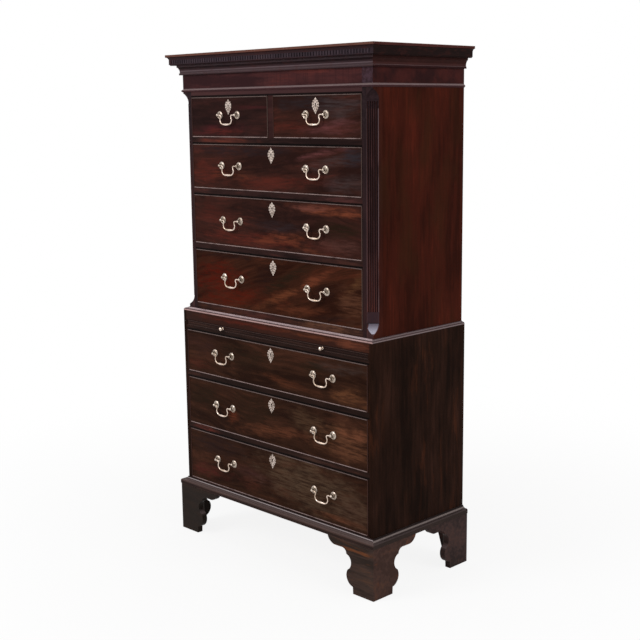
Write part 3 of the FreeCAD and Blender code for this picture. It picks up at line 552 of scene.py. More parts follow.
def upper_rail_zones(place, colour):
    """The top rail and the partition are redder than the dark rails below them."""
    z = split(place)[2]
    colour = toned(colour, above(z, PARTITION_FOOT), 0.35, (62, 34, 33))
    colour = toned(colour, above(z, TOP_RAIL_FOOT), 0.6, (70, 46, 47))
    colour = patched(place, colour, UPPER_RAIL_MIDDLE, (
        (-250, 0, 150, 10, 0, (92, 44, 34), 0.8), (330, -190, 120, 12, 0, (78, 44, 42), 0.7),
        (-300, -631, 170, 14, 0, (76, 42, 28), 0.7), (60, -631, 190, 12, 0, (72, 40, 30), 0.7),
        (260, -631, 180, 16, 0, (96, 63, 47), 0.9), (330, -396, 120, 10, 0, (72, 42, 34), 0.6)))
    # painted shade along the lower edge of each rail
    return shaded_rail_edges(z, colour, UPPER_HEADS)


def lower_rail_zones(place, colour):
    """A warm streaked fascia over the slide with a line of painted shade at its foot, and dark
    rails.
    """
    z = split(place)[2]
    colour = toned(colour, above(z, FASCIA_FOOT), 0.55, (54, 26, 18))
    colour = patched(place, colour, LOWER_RAIL_MIDDLE, (
        (-450, 0, 60, 24, 0, (34, 26, 25), 0.7), (-130, 6, 260, 10, 0, (78, 30, 20), 0.85),
        (220, 6, 190, 9, 0, (84, 44, 28), 0.85), (410, 2, 110, 16, 0, (96, 52, 36), 0.85),
        (-380, -437, 90, 10, 0, (92, 42, 34), 0.8), (200, -437, 120, 8, 0, (70, 48, 40), 0.6)))
    # a line of painted shade at the fascia's foot, over the slide's opening
    colour = banded(z, colour, ((FASCIA_FOOT, 0.8515, (14, 7, 6), 0.8),))
    # painted shade along the lower edge of each rail
    return shaded_rail_edges(z, colour, LOWER_HEADS)


def upper_side_zones(place, colour):
    """Broad greenish brown clouds in the red side."""
    cloudy = ramped(drawn(place, (6.0, 6.0, 2.4), 4.0, 0.6), 0.46, 0.66)
    return toned(colour, cloudy, 0.6, (48, 25, 13))


# The upper side's figure, which runs on over the side faces of the corner posts.
SIDE = dict(dark=(40, 14, 8), body=(56, 21, 13), warm=(72, 27, 17), flame=(84, 36, 22),
            flames=0.1, ribbons=0.45, clouds=0.95, sway=0.03)


def corner_zones(place, colour):
    """Flutes darkened with painted shade between pale arrises, painted highlights with some wear; a
    lower tongue painted bright as a highlight, with a line of painted shade over it; a dark head,
    and side faces that match the upper side."""
    x, y, z = split(place)
    across = maths("ABSOLUTE", x)
    sunk = minus(minus(y, CANT_DEEP), minus(across, CANT_ACROSS))
    # painted shade in the flutes
    colour = toned(colour, ramped(sunk, 0.0004, 0.0022), 0.75, (29, 19, 21))

    # The way a face looks, by its normal: to the side, askew as the cant does, or to the front.
    facing = split(put(place.id_data, "TexCoord")["Normal"])
    sideways = maths("ABSOLUTE", facing[0])
    flank = above(sideways, 0.95)
    cant = above(maths("ABSOLUTE", times(facing[0], facing[1])), 0.1)
    front = below(sideways, 0.5)

    worn = opposite(ramped(drawn(place, (40.0, 40.0, 9.0)), 0.45, 0.75))
    inner = times(within(across, *INNER_ARRIS), 0.6)
    arris_highlight = maths("MAXIMUM", within(across, *OUTER_ARRIS), inner)
    arris_highlight = times(arris_highlight, opposite(flank), within(z, TONGUE_HEAD, FLUTE_HEAD))
    # pale arrises: a painted highlight with some wear
    colour = toned(colour, arris_highlight, times(worn, 0.6), (104, 86, 90))
    plain = times(cant, within(z, TONGUE_HEAD, FLUTE_FOOT))
    colour = toned(colour, plain, 0.8, (44, 33, 38))

    mottled = ramped(noise(place, 70.0, 4.0, 0.7), 0.4, 0.65)
    violet = blended(mottled, (42, 30, 33), (30, 21, 23))
    head = times(cant, above(z, FLUTE_HEAD))
    colour = toned(colour, head, 0.9, violet)
    stile = times(front, ramped(z, 1.50, 1.64))
    colour = toned(colour, stile, 0.85, violet)
    side = figured(place, UPRIGHT, **SIDE)["Color"]
    colour = blended(flank, colour, upper_side_zones(place, side))

    # the tongue is painted bright as a highlight of reflected sky
    tongue_highlight = blended(ramped(z, TONGUE_FOOT, TONGUE_HEAD), (172, 172, 188), (98, 92, 104))
    where = times(cant, within(z, TONGUE_FOOT + 0.004, TONGUE_HEAD), within(across, *TONGUE_SIDES))
    colour = toned(colour, where, 0.88, tongue_highlight)
    # a line of painted shade over the tongue
    rim_shade = times(cant, within(z, TONGUE_HEAD, TONGUE_HEAD + 0.002))
    return toned(colour, rim_shade, 0.8, (22, 14, 18))


def waist_zones(place, colour):
    """Two pale edges, painted highlights with some wear, with a dark quirk of painted shade between
    them, painted dimmer along the sides as shade.
    """
    # pale bands are painted highlights, dark ones painted shade; the side bands are painted darker
    colour = moulded(place, colour, CASE_MITRE, 0.8840, (
        (0.8857, (70, 44, 38), 0.8), (0.8903, (168, 138, 135), 0.95),
        (0.8932, (62, 43, 44), 0.95), (0.8963, (190, 170, 172), 0.92),
        (0.8975, (96, 76, 76), 0.8)), (
        (0.8861, (38, 24, 22), 0.85), (0.8898, (116, 102, 102), 0.95),
        (0.8930, (58, 44, 44), 0.95), (0.8952, (124, 110, 112), 0.92),
        (0.8975, (46, 33, 33), 0.9)), 0.0003)
    worn = ramped(drawn(place, (22.0, 22.0, 60.0)), 0.5, 0.8)
    return toned(colour, worn, 0.5, (96, 70, 70))


def base_zones(place, colour):
    """A pale edge, a painted highlight with some wear, between dark ones of painted shade, over a
    brown nose and a dark foot, painted dimmer along the sides as shade."""
    # pale bands are painted highlights, dark ones painted shade; the side bands are painted darker
    return moulded(place, colour, CASE_MITRE, 0.1835, (
        (0.1862, (60, 42, 36), 0.6), (0.1955, (32, 23, 21), 0.8), (0.2012, (68, 53, 48), 0.7),
        (0.2042, (86, 72, 68), 0.8), (0.2066, (52, 42, 42), 0.9), (0.2094, (150, 140, 140), 0.95),
        (0.2130, (30, 20, 20), 0.9)), (
        (0.2030, (44, 36, 33), 0.85), (0.2066, (120, 110, 106), 0.9),
        (0.2130, (20, 14, 12), 0.9)), 0.0004)


def slide_zones(place, colour):
    """A reed along the top and the foot of the slide's edge, painted lighter as a highlight, with
    grooves beside them darkened with painted shade.
    """
    low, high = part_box("brushing_slide")
    reed, groove = 0.0035, 0.0055
    # lighter reeds are a painted highlight, near-black grooves are painted shade
    return banded(split(place)[2], colour, (
        (low.z, low.z + reed, (60, 43, 38), 0.75), (low.z + reed, low.z + groove, (16, 10, 9), 0.9),
        (high.z - groove, high.z - reed, (16, 10, 9), 0.9),
        (high.z - reed, high.z, (64, 46, 42), 0.75)), 0.0003)


def front_foot_zones(place, colour):
    """The left foot is blackened, the right one has a bright streak near its head."""
    x, y, _ = split(place)
    colour = toned(colour, below(x, 0.0), 0.85, (35, 30, 27))
    side = above(plus(x, y), CASE_MITRE)
    colour = toned(colour, side, 0.35, (72, 46, 40))
    return patched(place, colour, RIGHT_FOOT_MIDDLE, ((0, 8, 90, 6, 0, (124, 72, 42), 0.7),))


# ---------------- finishes
FOOT = dict(flame=(124, 70, 36), dust_and_sheen=0.3, ribbons=0.9)
# Each row: node, its name, way of the grain, dark, body and warm colours, and what else differs.
CARCASS = (
    ("lower_side_panels", "lower side", UPRIGHT, (21, 11, 7), (34, 19, 13), (48, 28, 21),
     dict(flame=(70, 36, 21), flames=0.5, ribbons=0.5, gloss=0.01, sway=0.03, dust_and_sheen=0.2, seed=3.1)),
    ("canted_corners", "corner posts", UPRIGHT, (42, 28, 29), (66, 43, 43), (88, 48, 43),
     dict(dust_and_sheen=0.1, change=corner_zones)),
    ("upper_drawer_rails", "upper rails", ALONG_X, (28, 16, 15), (45, 27, 25), (70, 38, 33),
     dict(seed=1.7, change=upper_rail_zones)),
    ("lower_drawer_rails", "lower rails", ALONG_X, (27, 16, 13), (39, 24, 20), (60, 35, 28),
     dict(seed=5.2, change=lower_rail_zones)),
    ("frieze", "frieze crossbanding", ALONG_X, (44, 23, 25), (66, 35, 35), (88, 42, 38),
     dict(seed=2.4, ribbons=0.4, dust_and_sheen=0.35, change=frieze_zones)),
    ("cornice", "cornice", ALONG_X, (36, 20, 22), (56, 31, 31), (76, 38, 32),
     dict(seed=4.5, ribbons=0.4, dust_and_sheen=0.2, gloss=0.015, change=cornice_zones)),
    ("dentil_course", "dentils", UPRIGHT, (48, 39, 44), (58, 47, 53), (68, 55, 59),
     dict(seed=6.6, dust_and_sheen=0.2)),
    ("waist_moulding", "waist moulding", ALONG_X, (46, 30, 32), (70, 50, 52), (96, 70, 70),
     dict(seed=7.1, dust_and_sheen=0.08, change=waist_zones)),
    ("base_moulding", "base moulding", ALONG_X, (44, 30, 28), (64, 48, 46), (84, 60, 54),
     dict(seed=8.3, dust_and_sheen=0.08, change=base_zones)),
    ("bracket_feet_front", "front feet", ALONG_X, (44, 35, 31), (62, 48, 43), (80, 56, 44),
     dict(FOOT, flames=0.5, seed=9.4, change=front_foot_zones)),
    ("bracket_feet_rear", "rear feet", ALONG_X, (44, 34, 33), (58, 44, 42), (68, 49, 45),
     dict(FOOT, flames=0.1, seed=10.2)),
    ("brushing_slide", "brushing slide", ALONG_X, (28, 17, 14), (41, 25, 21), (56, 36, 30),
     dict(seed=11.5, dust_and_sheen=0.05, change=slide_zones)),
)
# Bare woods: their early, late and grey colours, and how grey they are.
PINE = ((146, 106, 70), (104, 68, 41), (86, 72, 58), 0.5)
BLACKENED_PINE = ((52, 38, 28), (34, 24, 18), (44, 38, 34), 0.5)
OAK = ((176, 136, 92), (128, 88, 52), (104, 88, 70), 0.3)


def build_finishes():
    """Every finish on the carcass and the linings, by the node that has it."""
    finishes = {"upper_side_panels": mahogany("mahogany upper side", UPRIGHT, dust_and_sheen=0.2, gloss=0.01,
                                              change=upper_side_zones, **SIDE)}
    for node, name, turn, dark, body, warm, others in CARCASS:
        finishes[node] = mahogany("mahogany " + name, turn, dark=dark, body=body, warm=warm,
                                  **others)
    for node in ("upper_backboards", "lower_backboards"):
        low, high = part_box(node)
        width = (high.x - low.x) / BACK_BOARDS
        finishes[node] = plain_wood("pine " + node.replace("_", " "), UPRIGHT, *PINE, width,
                                    high.y + width / 2)
    finishes["upper_drawer_guides"] = plain_wood("pine boards front to back", ALONG_Y, *PINE)
    finishes["foot_glue_blocks"] = plain_wood("pine glue blocks, blackened", ALONG_Y,
                                              *BLACKENED_PINE)
    boards = plain_wood("pine boards side to side", ALONG_X, *PINE)
    for node in ("upper_top_and_bottom_boards", "lower_top_and_bottom_boards",
                 "upper_dustboards", "lower_dustboards"):
        finishes[node] = boards
    oak = plain_wood("oak drawer linings", ALONG_Y, *OAK)
    for drawer in DRAWERS:
        finishes[drawer[0] + "_lining"] = oak
    return finishes


UPPER_VENEER = ((35, 18, 15), (50, 27, 22), (67, 33, 27), (96, 46, 32))
THIRD_VENEER = ((36, 15, 8), (51, 26, 16), (68, 33, 21), (96, 46, 29))
LOWER_VENEER = ((33, 17, 11), (47, 27, 18), (63, 36, 25), (92, 54, 34))
BLACKISH = (31, 17, 15)
GREENISH = (33, 23, 14)
RED = (84, 34, 26)
PLUM = (66, 28, 30)
ORANGE = (110, 57, 38)
PINK = (94, 54, 54)
BROWN = (84, 52, 37)
# a greyish painted reflection on the polished fronts
REFLECTED_SHEEN = (70, 58, 58)

# Each row: drawer, seed, tilt of the grain, share of flame, its dark, body, warm and flame
# colours, and its patches.
VENEERS = (
    ("short_left", 0.0, 2, 0.05, ((30, 17, 16), (42, 24, 22), (54, 29, 26), (70, 34, 29)), (
        (20, 40, 230, 34, 3, BLACKISH, 0.7), (140, 34, 70, 8, 0, PLUM, 0.7),
        (-60, -46, 170, 20, 2, PLUM, 0.8), (-20, -52, 110, 12, 0, RED, 0.5),
        (170, -40, 60, 26, 0, BLACKISH, 0.5))),
    ("short_right", 1.3, 3, 0.05, UPPER_VENEER, (
        (0, 44, 230, 24, 0, (38, 30, 32), 0.8), (110, 30, 120, 40, 4, REFLECTED_SHEEN, 0.5),
        (100, -26, 110, 16, 6, PINK, 0.55), (-120, -34, 110, 22, 0, RED, 0.55),
        (60, -46, 150, 16, 0, PINK, 0.5))),
    ("upper_first", 2.6, 5, 0.06, UPPER_VENEER, (
        (-170, 62, 330, 22, 0, (34, 25, 27), 0.85), (0, 6, 120, 26, 2, BLACKISH, 0.8),
        (-350, -20, 100, 46, 0, RED, 0.6), (20, -46, 260, 22, 2, RED, 0.65),
        (-200, -30, 120, 20, 0, ORANGE, 0.25), (230, 54, 130, 13, 9, PINK, 0.75),
        # painted reflections: the greyish patches and the bluish grey one at the right end
        (300, 30, 130, 22, 9, REFLECTED_SHEEN, 0.4), (395, 46, 50, 30, 0, (36, 34, 40), 0.7),
        (370, -40, 110, 32, 0, REFLECTED_SHEEN, 0.45))),
    ("upper_second", 3.9, -1, 0.10, UPPER_VENEER, (
        (-70, 36, 320, 46, 0, BLACKISH, 0.7), (-320, 20, 110, 44, 0, RED, 0.4),
        (20, -6, 160, 22, 0, (44, 34, 36), 0.6), (330, 6, 130, 32, 0, GREENISH, 0.85),
        (300, 62, 170, 16, -3, ORANGE, 0.85), (190, 70, 90, 10, 0, (96, 58, 52), 0.6),
        (-120, -56, 330, 26, 0, RED, 0.7), (60, -44, 170, 20, 8, ORANGE, 0.45),
        (150, -66, 150, 16, -14, ORANGE, 0.4), (340, -50, 120, 26, -2, (78, 48, 42), 0.7))),
    ("upper_third", 5.2, 18, 0.18, THIRD_VENEER, (
        (-320, -6, 150, 90, 6, (74, 18, 8), 0.95), (-200, -60, 240, 40, 8, (72, 22, 10), 0.85),
        (-250, 92, 220, 15, 0, BLACKISH, 0.85), (-40, 34, 70, 50, 60, BLACKISH, 0.6),
        (60, 26, 200, 22, 27, GREENISH, 0.85), (200, 36, 130, 16, 25, ORANGE, 0.7),
        (30, -34, 150, 18, 22, (104, 58, 36), 0.6), (250, -2, 110, 28, 16, BLACKISH, 0.65),
        (380, -20, 80, 66, 34, BROWN, 0.75), (400, 40, 60, 20, 40, (100, 66, 42), 0.5),
        (290, -84, 120, 16, 4, BLACKISH, 0.7), (110, -72, 150, 18, 4, (96, 50, 32), 0.5))),
    ("lower_top", 6.5, -1, 0.06, LOWER_VENEER, (
        (-390, 30, 130, 44, 0, (48, 28, 25), 0.6), (-140, 16, 170, 46, 0, GREENISH, 0.65),
        (80, -44, 150, 16, -5, (92, 50, 32), 0.45), (400, -44, 110, 30, -4, (100, 62, 40), 0.75),
        (330, 50, 140, 20, 0, (60, 48, 44), 0.6), (210, 30, 70, 34, 0, GREENISH, 0.75),
        (-420, -46, 80, 20, 0, RED, 0.35))),
    ("lower_middle", 7.8, -3, 0.10, LOWER_VENEER, (
        (-400, 30, 120, 46, 0, GREENISH, 0.75), (-90, 26, 130, 60, 0, GREENISH, 0.65),
        (-215, -22, 34, 26, 0, (112, 54, 34), 0.55), (0, -40, 230, 24, 6, (98, 56, 38), 0.65),
        (200, 30, 110, 50, -3, (80, 58, 42), 0.6), (370, -10, 140, 70, -3, (98, 62, 43), 0.75),
        (410, 24, 70, 22, 0, (112, 66, 46), 0.6), (300, -4, 50, 20, 0, GREENISH, 0.6))),
    ("lower_bottom", 9.1, 4, 0.06, LOWER_VENEER, (
        (-330, 60, 190, 40, 0, (38, 25, 24), 0.7), (-380, -54, 150, 26, 0, (80, 32, 28), 0.6),
        (-110, -10, 130, 26, -6, (66, 38, 36), 0.5), (-120, -50, 60, 26, 0, (78, 40, 30), 0.5),
        (210, 10, 300, 100, -6, (84, 65, 50), 0.7), (330, -74, 120, 12, 0, (104, 56, 36), 0.5),
        (400, -30, 80, 50, 0, (78, 56, 45), 0.5))),
)


def dress(node, finish):
    """Gives a finish to all of one CAD node."""
    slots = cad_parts[node].data.materials
    slots.clear()
    slots.append(finish)


# ---------------- modelling helpers
def add_to_scene(made):
    bpy.context.scene.collection.objects.link(made)


def finished(name, finish, body, slot, *nodes):
    """The active object in its place: named, finished, riding on a body, and in for CAD nodes."""
    made = bpy.context.object
    bpy.ops.object.transform_apply(location=True, rotation=True, scale=True)
    made.name = name
    made.data.name = name
    made.data.materials.clear()
    made.data.materials.append(finish)
    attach(made, body)
    if nodes:
        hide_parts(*nodes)
    made.select_set(False)
    return made


def moved_copy(piece, name, offset, body, *nodes):
    """Another of the same piece, with its own mesh, moved to its place in the frame."""
    made = piece.copy()
    made.data = piece.data.copy()
    made.data.transform(Matrix.Translation(offset))
    made.name = name
    made.data.name = name
    add_to_scene(made)
    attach(made, body)
    if nodes:
        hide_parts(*nodes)
    return made


def smoothed(degrees):
    """The active object, shaded smooth across edges flatter than an angle."""
    bpy.ops.object.shade_smooth_by_angle(angle=math.radians(degrees))
    return bpy.context.object


def turned(x, y, z, stations, sides):
    """Turns a piece along Y: a disc at the first (distance forward, radius), extruded and resized
    to each of the others."""
    out, radius = stations[0]
    bpy.ops.mesh.primitive_circle_add(vertices=sides, radius=radius * MM, fill_type="NGON",
                                      location=(x, y - out * MM, z),
                                      rotation=(math.radians(90), 0, 0))
    bpy.ops.object.mode_set(mode="EDIT")
    for next_out, next_radius in stations[1:]:
        bpy.ops.mesh.extrude_region_move(
            TRANSFORM_OT_translate={"value": (0, (out - next_out) * MM, 0)})
        share = next_radius / radius
        bpy.ops.transform.resize(value=(share, 1, share), center_override=(x, y - next_out * MM, z))
        out, radius = next_out, next_radius
    bpy.ops.mesh.select_all(action="SELECT")
    bpy.ops.mesh.normals_make_consistent(inside=False)
    bpy.ops.object.mode_set(mode="OBJECT")
    return smoothed(42)


def eased_block(place, size, ease):
    """A block with its middle at a place, its sharp edges taken off."""
    bpy.ops.mesh.primitive_cube_add(size=1, location=place, scale=size)
    bpy.ops.object.transform_apply(location=True, rotation=True, scale=True)
    bpy.ops.object.mode_set(mode="EDIT")
    bpy.ops.mesh.select_all(action="SELECT")
    bpy.ops.mesh.bevel(offset=ease, segments=2)
    bpy.ops.object.mode_set(mode="OBJECT")
    return smoothed(40)


def join(pieces):
    """Makes several pieces one, which is then the active object."""
    bpy.ops.object.select_all(action="DESELECT")
    for piece in pieces:
        piece.select_set(True)
    bpy.context.view_layer.objects.active = pieces[0]
    bpy.ops.object.join()


def draw_line(curve, points, kind, closed):
    """A line on a curve through points, each given by its place and its thickness."""
    spline = curve.splines.new("BEZIER")
    spline.bezier_points.add(len(points) - 1)
    spline.use_cyclic_u = closed
    for point, (place, thick) in zip(spline.bezier_points, points):
        point.co = place
        point.radius = thick
        point.handle_left_type = point.handle_right_type = kind


def mesh_from(name, curve, place=(0, 0, 0), turn=(0, 0, 0)):
    """Makes a curve a mesh, which is then the active object."""
    made = bpy.data.objects.new(name, curve)
    made.location = place
    made.rotation_euler = turn
    add_to_scene(made)
    made.select_set(True)
    bpy.context.view_layer.objects.active = made
    bpy.ops.object.convert(target="MESH")


# ---------------- brasses
# Turned pieces: distance forward of the drawer front and radius, in millimetres.
ROSE = ((0, 13.3), (0.5, 14.1), (1.2, 14.4), (1.9, 14.0), (2.4, 13.0), (2.2, 12.3), (2.7, 11.8),
        (3.4, 10.9), (3.8, 9.7), (3.5, 8.6), (2.9, 7.7), (3.0, 6.8), (3.9, 6.1), (4.8, 4.9),
        (6.2, 3.8), (8.0, 3.6), (9.0, 4.3), (10.0, 4.9), (11.4, 5.3), (13.5, 5.4), (14.8, 5.0),
        (15.8, 4.2), (16.5, 3.2), (17.0, 2.3), (17.3, 1.4), (17.4, 0.5))
SHANK = ((-23.0, 1.9), (0.4, 1.9))
KNOB = ((0, 4.8), (0.6, 5.0), (1.2, 4.4), (2.0, 3.2), (4.0, 2.8), (6.0, 3.6), (7.6, 6.0),
        (9.6, 7.3), (11.6, 7.2), (13.4, 6.2), (14.8, 4.2), (15.4, 3.0), (15.8, 1.2), (16.0, 0.4))
ROUND = 28  # sides of a rose or a knob
SHANK_SIDES = 12
HOLLOW_RADIUS = 9.0  # the hollow of a rose, which lies between two distances forward
HOLLOW_FROM = 0.5
HOLLOW_TO = 9.5
# Width, depth and height of the nuts and locks.
NUT = (0.011, 0.003, 0.011)
LOCK = (0.062, 0.0099, 0.048)
LOCK_IN = 0.005  # from the back of a front to the middle of its lock
# Half of a bail, from its pin to the middle of its grip: across, down, thickness.
BAIL = ((45.4, 0.0, 2.1), (40.0, 0.0, 2.1), (34.0, 0.0, 2.2), (30.0, -1.7, 2.4), (28.5, -5.6, 2.4),
        (29.6, -10.2, 2.2), (31.6, -15.2, 2.2), (31.5, -20.2, 2.3), (28.8, -26.2, 2.4),
        (23.6, -30.7, 2.6), (17.6, -32.7, 2.9), (11.0, -33.2, 3.6), (5.0, -33.4, 4.2),
        (0.0, -33.4, 4.4))
# Right half of the pierced leaf, from its top, in shares of its half width and half height.
LEAF = ((0.0, 1.0), (0.12, 0.88), (0.30, 0.80), (0.27, 0.71), (0.52, 0.68), (0.78, 0.56),
        (0.70, 0.45), (0.92, 0.38), (1.0, 0.22), (0.84, 0.10), (0.98, 0.0), (0.94, -0.14),
        (0.70, -0.22), (0.76, -0.36), (0.56, -0.48), (0.44, -0.52), (0.46, -0.64), (0.26, -0.74),
        (0.14, -0.88), (0.0, -1.0))
LEAF_HALF_WIDTH = 0.0165
LEAF_HALF_HEIGHT = 0.0275
LEAF_HALF_THICK = 0.0006
LEAF_EASE = 0.0002
# Piercings: middle across and up in millimetres, half width, half height, lean in degrees.
PIERCINGS = ((7.2, 11.6, 1.8, 3.2, -30), (10.4, 3.2, 1.9, 2.7, 55), (8.6, -4.6, 1.7, 2.9, 10),
             (4.4, -11.6, 1.7, 3.1, 25), (2.6, 18.2, 1.1, 2.5, -15), (2.2, -19.2, 0.95, 2.3, 12),
             (5.2, -0.6, 0.9, 1.8, 0))
KEYHOLE = ((2.0, -5.0), (1.8, 2.2), (3.0, 3.4), (3.7, 5.6), (2.6, 8.0), (0.0, 9.0), (-2.6, 8.0),
           (-3.7, 5.6), (-3.0, 3.4), (-1.8, 2.2), (-2.0, -5.0))


def build_bail(x, y, z, finish, name, body):
    """A swan-necked bail: a smooth wire through its pins, necks and belly to a swelling grip."""
    path = bpy.data.curves.new(name, "CURVE")
    path.dimensions = "3D"
    path.bevel_depth = MM
    path.bevel_resolution = 4
    path.resolution_u = 4
    path.use_fill_caps = True
    wire = list(BAIL) + [(-across, down, thick) for across, down, thick in reversed(BAIL[:-1])]
    draw_line(path, [((x + across * MM, y, z + down * MM), thick) for across, down, thick in wire],
              "AUTO", False)
    mesh_from(name, path)
    smoothed(60)
    return finished(name, finish, body, "brass", name)


def build_escutcheon(x, y, z, name, finish, body):
    """A thin pierced leaf, cut from a flat outline with its holes."""
    plate = bpy.data.curves.new(name, "CURVE")
    plate.dimensions = "2D"
    plate.fill_mode = "BOTH"
    plate.extrude = LEAF_HALF_THICK - LEAF_EASE
    plate.bevel_depth = LEAF_EASE
    plate.bevel_resolution = 1
    plate.resolution_u = 3

    def ring(points, kind):
        draw_line(plate, [((across, up, 0), 1.0) for across, up in points], kind, True)

    half = [(across * LEAF_HALF_WIDTH, up * LEAF_HALF_HEIGHT) for across, up in LEAF]
    ring(half + [(-across, up) for across, up in reversed(half[1:-1])], "AUTO")
    ring([(across * MM, up * MM) for across, up in KEYHOLE], "VECTOR")
    for across, up, wide, high, lean in PIERCINGS:
        for side in (1, -1):
            cosine = math.cos(math.radians(lean))
            sine = math.sin(math.radians(lean)) * side
            ring([((side * across + a * cosine - b * sine) * MM,
                   (up + a * sine + b * cosine) * MM)
                  for a, b in ((0, high), (wide, 0), (0, -high), (-wide, 0))], "AUTO")
    mesh_from(name, plate, (x, y - LEAF_HALF_THICK, z), (math.radians(90), 0, 0))
    return finished(name, finish, body, "brass")


def mark_hollow(post, x, face, z):
    """Marks the points of a post that lie in the hollow of its rose, which gets dirt and painted
    shade.
    """
    marks = post.data.attributes.new("hollow", "FLOAT", "POINT")
    for mark, vertex in zip(marks.data, post.data.vertices):
        out = (face - vertex.co.y) / MM
        radius = math.hypot(vertex.co.x - x, vertex.co.z - z) / MM
        mark.value = float(radius < HOLLOW_RADIUS and HOLLOW_FROM < out < HOLLOW_TO)


def build_brasses():
    """The handles, escutcheons and locks of all eight drawers. Gives the brass of the bails."""
    bright = brass("brass bails", (226, 206, 192), (184, 162, 142), (60, 48, 34), 0.6)
    # the last colour is dirt and painted shade in the hollows of the roses
    gilt = brass("brass roses", (188, 174, 162), (148, 132, 118), (54, 44, 34), 0.8, (90, 76, 60))
    pale = brass("brass escutcheons", (204, 188, 178), (150, 134, 124), (50, 40, 34), 0.7)
    lock_brass = brass("brass locks", (170, 146, 96), (120, 100, 62), (60, 48, 32), 0.6)
    name, middle, face, _, pivot = DRAWERS[0]
    post_x = middle - HANDLE_SPREAD / 2
    back = face + FRONT_THICK
    rose = turned(post_x, face, pivot, ROSE, ROUND)
    shank = turned(post_x, face, pivot, SHANK, SHANK_SIDES)
    nut = eased_block((post_x, back + NUT[1] / 2, pivot), NUT, 0.0004)
    join([rose, shank, nut])
    post = finished(name + "_post_0", gilt, name + "_drawer", "brass", name + "_brasses")
    mark_hollow(post, post_x, face, pivot)
    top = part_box(name + "_front")[1].z
    leaf = build_escutcheon(middle, face, top - ESCUTCHEON_DROP, name + "_escutcheon", pale,
                            name + "_drawer")
    eased_block((middle, back - LOCK_IN, top - BEAD - LOCK[2] / 2), LOCK, 0.0005)
    lock = finished(name + "_lock", lock_brass, name + "_drawer", "brass")
    bail = build_bail(middle, face - PIVOT_OUT, pivot, bright, name + "_bail", name + "_bail")

    for drawer, x, plane, places, height in DRAWERS:
        body = drawer + "_drawer"
        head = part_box(drawer + "_front")[1].z
        across = Vector((x - middle, plane - face, 0))
        if drawer != name:
            moved_copy(leaf, drawer + "_escutcheon", across + Vector((0, 0, head - top)), body,
                       drawer + "_brasses")
            moved_copy(lock, drawer + "_lock", across + Vector((0, 0, head - top)), body)
        for index, place in enumerate(places):
            rise = Vector((place, 0, height - pivot))
            label = "" if len(places) == 1 else ("_left", "_right")[index]
            for side in (0, 1):
                if drawer == name and side == 0:
                    continue
                offset = across + rise + Vector((side * HANDLE_SPREAD, 0, 0))
                moved_copy(post, drawer + "_post_" + str(2 * index + side), offset, body)
            if drawer != name:
                piece = drawer + label + "_bail"
                moved_copy(bail, piece + "_wire", across + rise, piece, piece)
    return bright


def build_slide_knobs(finish):
    """Two small turned knobs on the edge of the brushing slide."""
    low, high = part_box("slide_knobs")
    x = LOWER_HANDLES[1]
    turned(x, LOWER_FACE, (low.z + high.z) / 2, KNOB, ROUND)
    first = finished("slide_knob_right", finish, "brushing_slide", "brass", "slide_knobs")
    moved_copy(first, "slide_knob_left", Vector((-2 * x, 0, 0)), "brushing_slide")


# ---------------- stage, light and camera
WHITE = (1, 1, 1, 1)
CAMERA_PLACE = (3.03127, -2.95046, 1.64196)
CAMERA_YAW, CAMERA_PITCH, CAMERA_ROLL = (math.radians(turn) for turn in (45.559, 10.292, -0.6475))


def seen_directly(tree):
    """1 for rays from the eye, from gloss and through glass."""
    ray = put(tree, "LightPath")
    seen = maths("MAXIMUM", ray["Is Camera Ray"], ray["Is Glossy Ray"])
    return maths("MAXIMUM", seen, ray["Is Transmission Ray"])


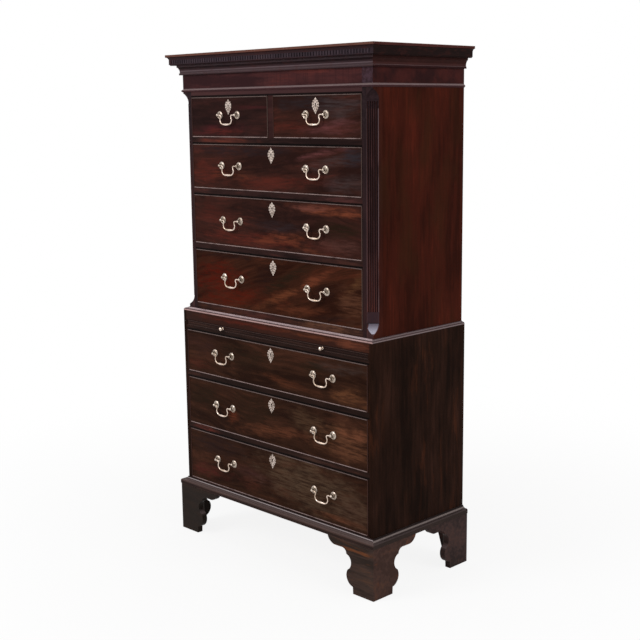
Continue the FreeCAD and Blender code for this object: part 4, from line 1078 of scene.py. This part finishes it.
def build_stage():
    """A pale floor that keeps the shadow, and a white surround seen by eye and by gloss."""
    bpy.ops.mesh.primitive_plane_add(size=40, location=(0, 0, 0))
    floor = bpy.context.object
    floor.name = "floor"
    made, tree, shader, place = material("pale floor")
    fill(tree, shader, {"Base Color": (0.86, 0.86, 0.86, 1), "Roughness": 0.9,
                        "Specular IOR Level": 0.1})
    white = put(tree, "Emission", {"Color": WHITE, "Strength": 1.0})[0]
    clear = ramped(length(place), 0.5, 2.6, 0.87, 1.0)
    seen = times(seen_directly(tree), clear)
    mixed = put(tree, "MixShader", {0: seen, 1: shader.outputs[0], 2: white})[0]
    fill(tree, tree.nodes["Material Output"], {"Surface": mixed})
    floor.data.materials.append(made)
    floor.select_set(False)

    world = bpy.data.worlds.new("studio")
    world.use_nodes = True
    bpy.context.scene.world = world
    tree = world.node_tree
    room = put(tree, "Background", {"Color": (1.0, 0.99, 0.98, 1), "Strength": 0.55})[0]
    white = put(tree, "Background", {"Color": WHITE, "Strength": 1.0})[0]
    mixed = put(tree, "MixShader", {0: seen_directly(tree), 1: room, 2: white})[0]
    fill(tree, tree.nodes["World Output"], {"Surface": mixed})


def build_lamp(name, place, size, power):
    """A square lamp that shines on the middle of the chest."""
    lamp = bpy.data.lights.new(name, "AREA")
    lamp.size = size
    lamp.energy = power
    made = bpy.data.objects.new(name, lamp)
    made.location = place
    aim = Vector((0, 0, 1.0)) - Vector(place)
    made.rotation_euler = aim.to_track_quat("-Z", "Y").to_euler()
    add_to_scene(made)


def build_camera():
    lens = bpy.data.cameras.new("camera")
    lens.lens = 65.02
    lens.sensor_width = 36.0
    camera = bpy.data.objects.new("camera", lens)
    camera.matrix_world = (Matrix.Translation(CAMERA_PLACE)
                           @ Matrix.Rotation(CAMERA_YAW, 4, "Z")
                           @ Matrix.Rotation(math.pi / 2 - CAMERA_PITCH, 4, "X")
                           @ Matrix.Rotation(CAMERA_ROLL, 4, "Z"))
    add_to_scene(camera)
    bpy.context.scene.camera = camera


# ---------------- the whole chest
bpy.ops.object.select_all(action="DESELECT")
for node_name, node_finish in build_finishes().items():
    dress(node_name, node_finish)
for veneer in VENEERS:
    dress(veneer[0] + "_front", drawer_wood(*veneer))
handle_brass = build_brasses()
build_slide_knobs(handle_brass)
build_stage()
build_lamp("key lamp", (-1.5, -4.5, 3.6), 2.6, 150)
build_lamp("side lamp", (4.6, 0.6, 2.8), 2.4, 90)
build_camera()

bpy.context.scene.view_settings.view_transform = "Standard"
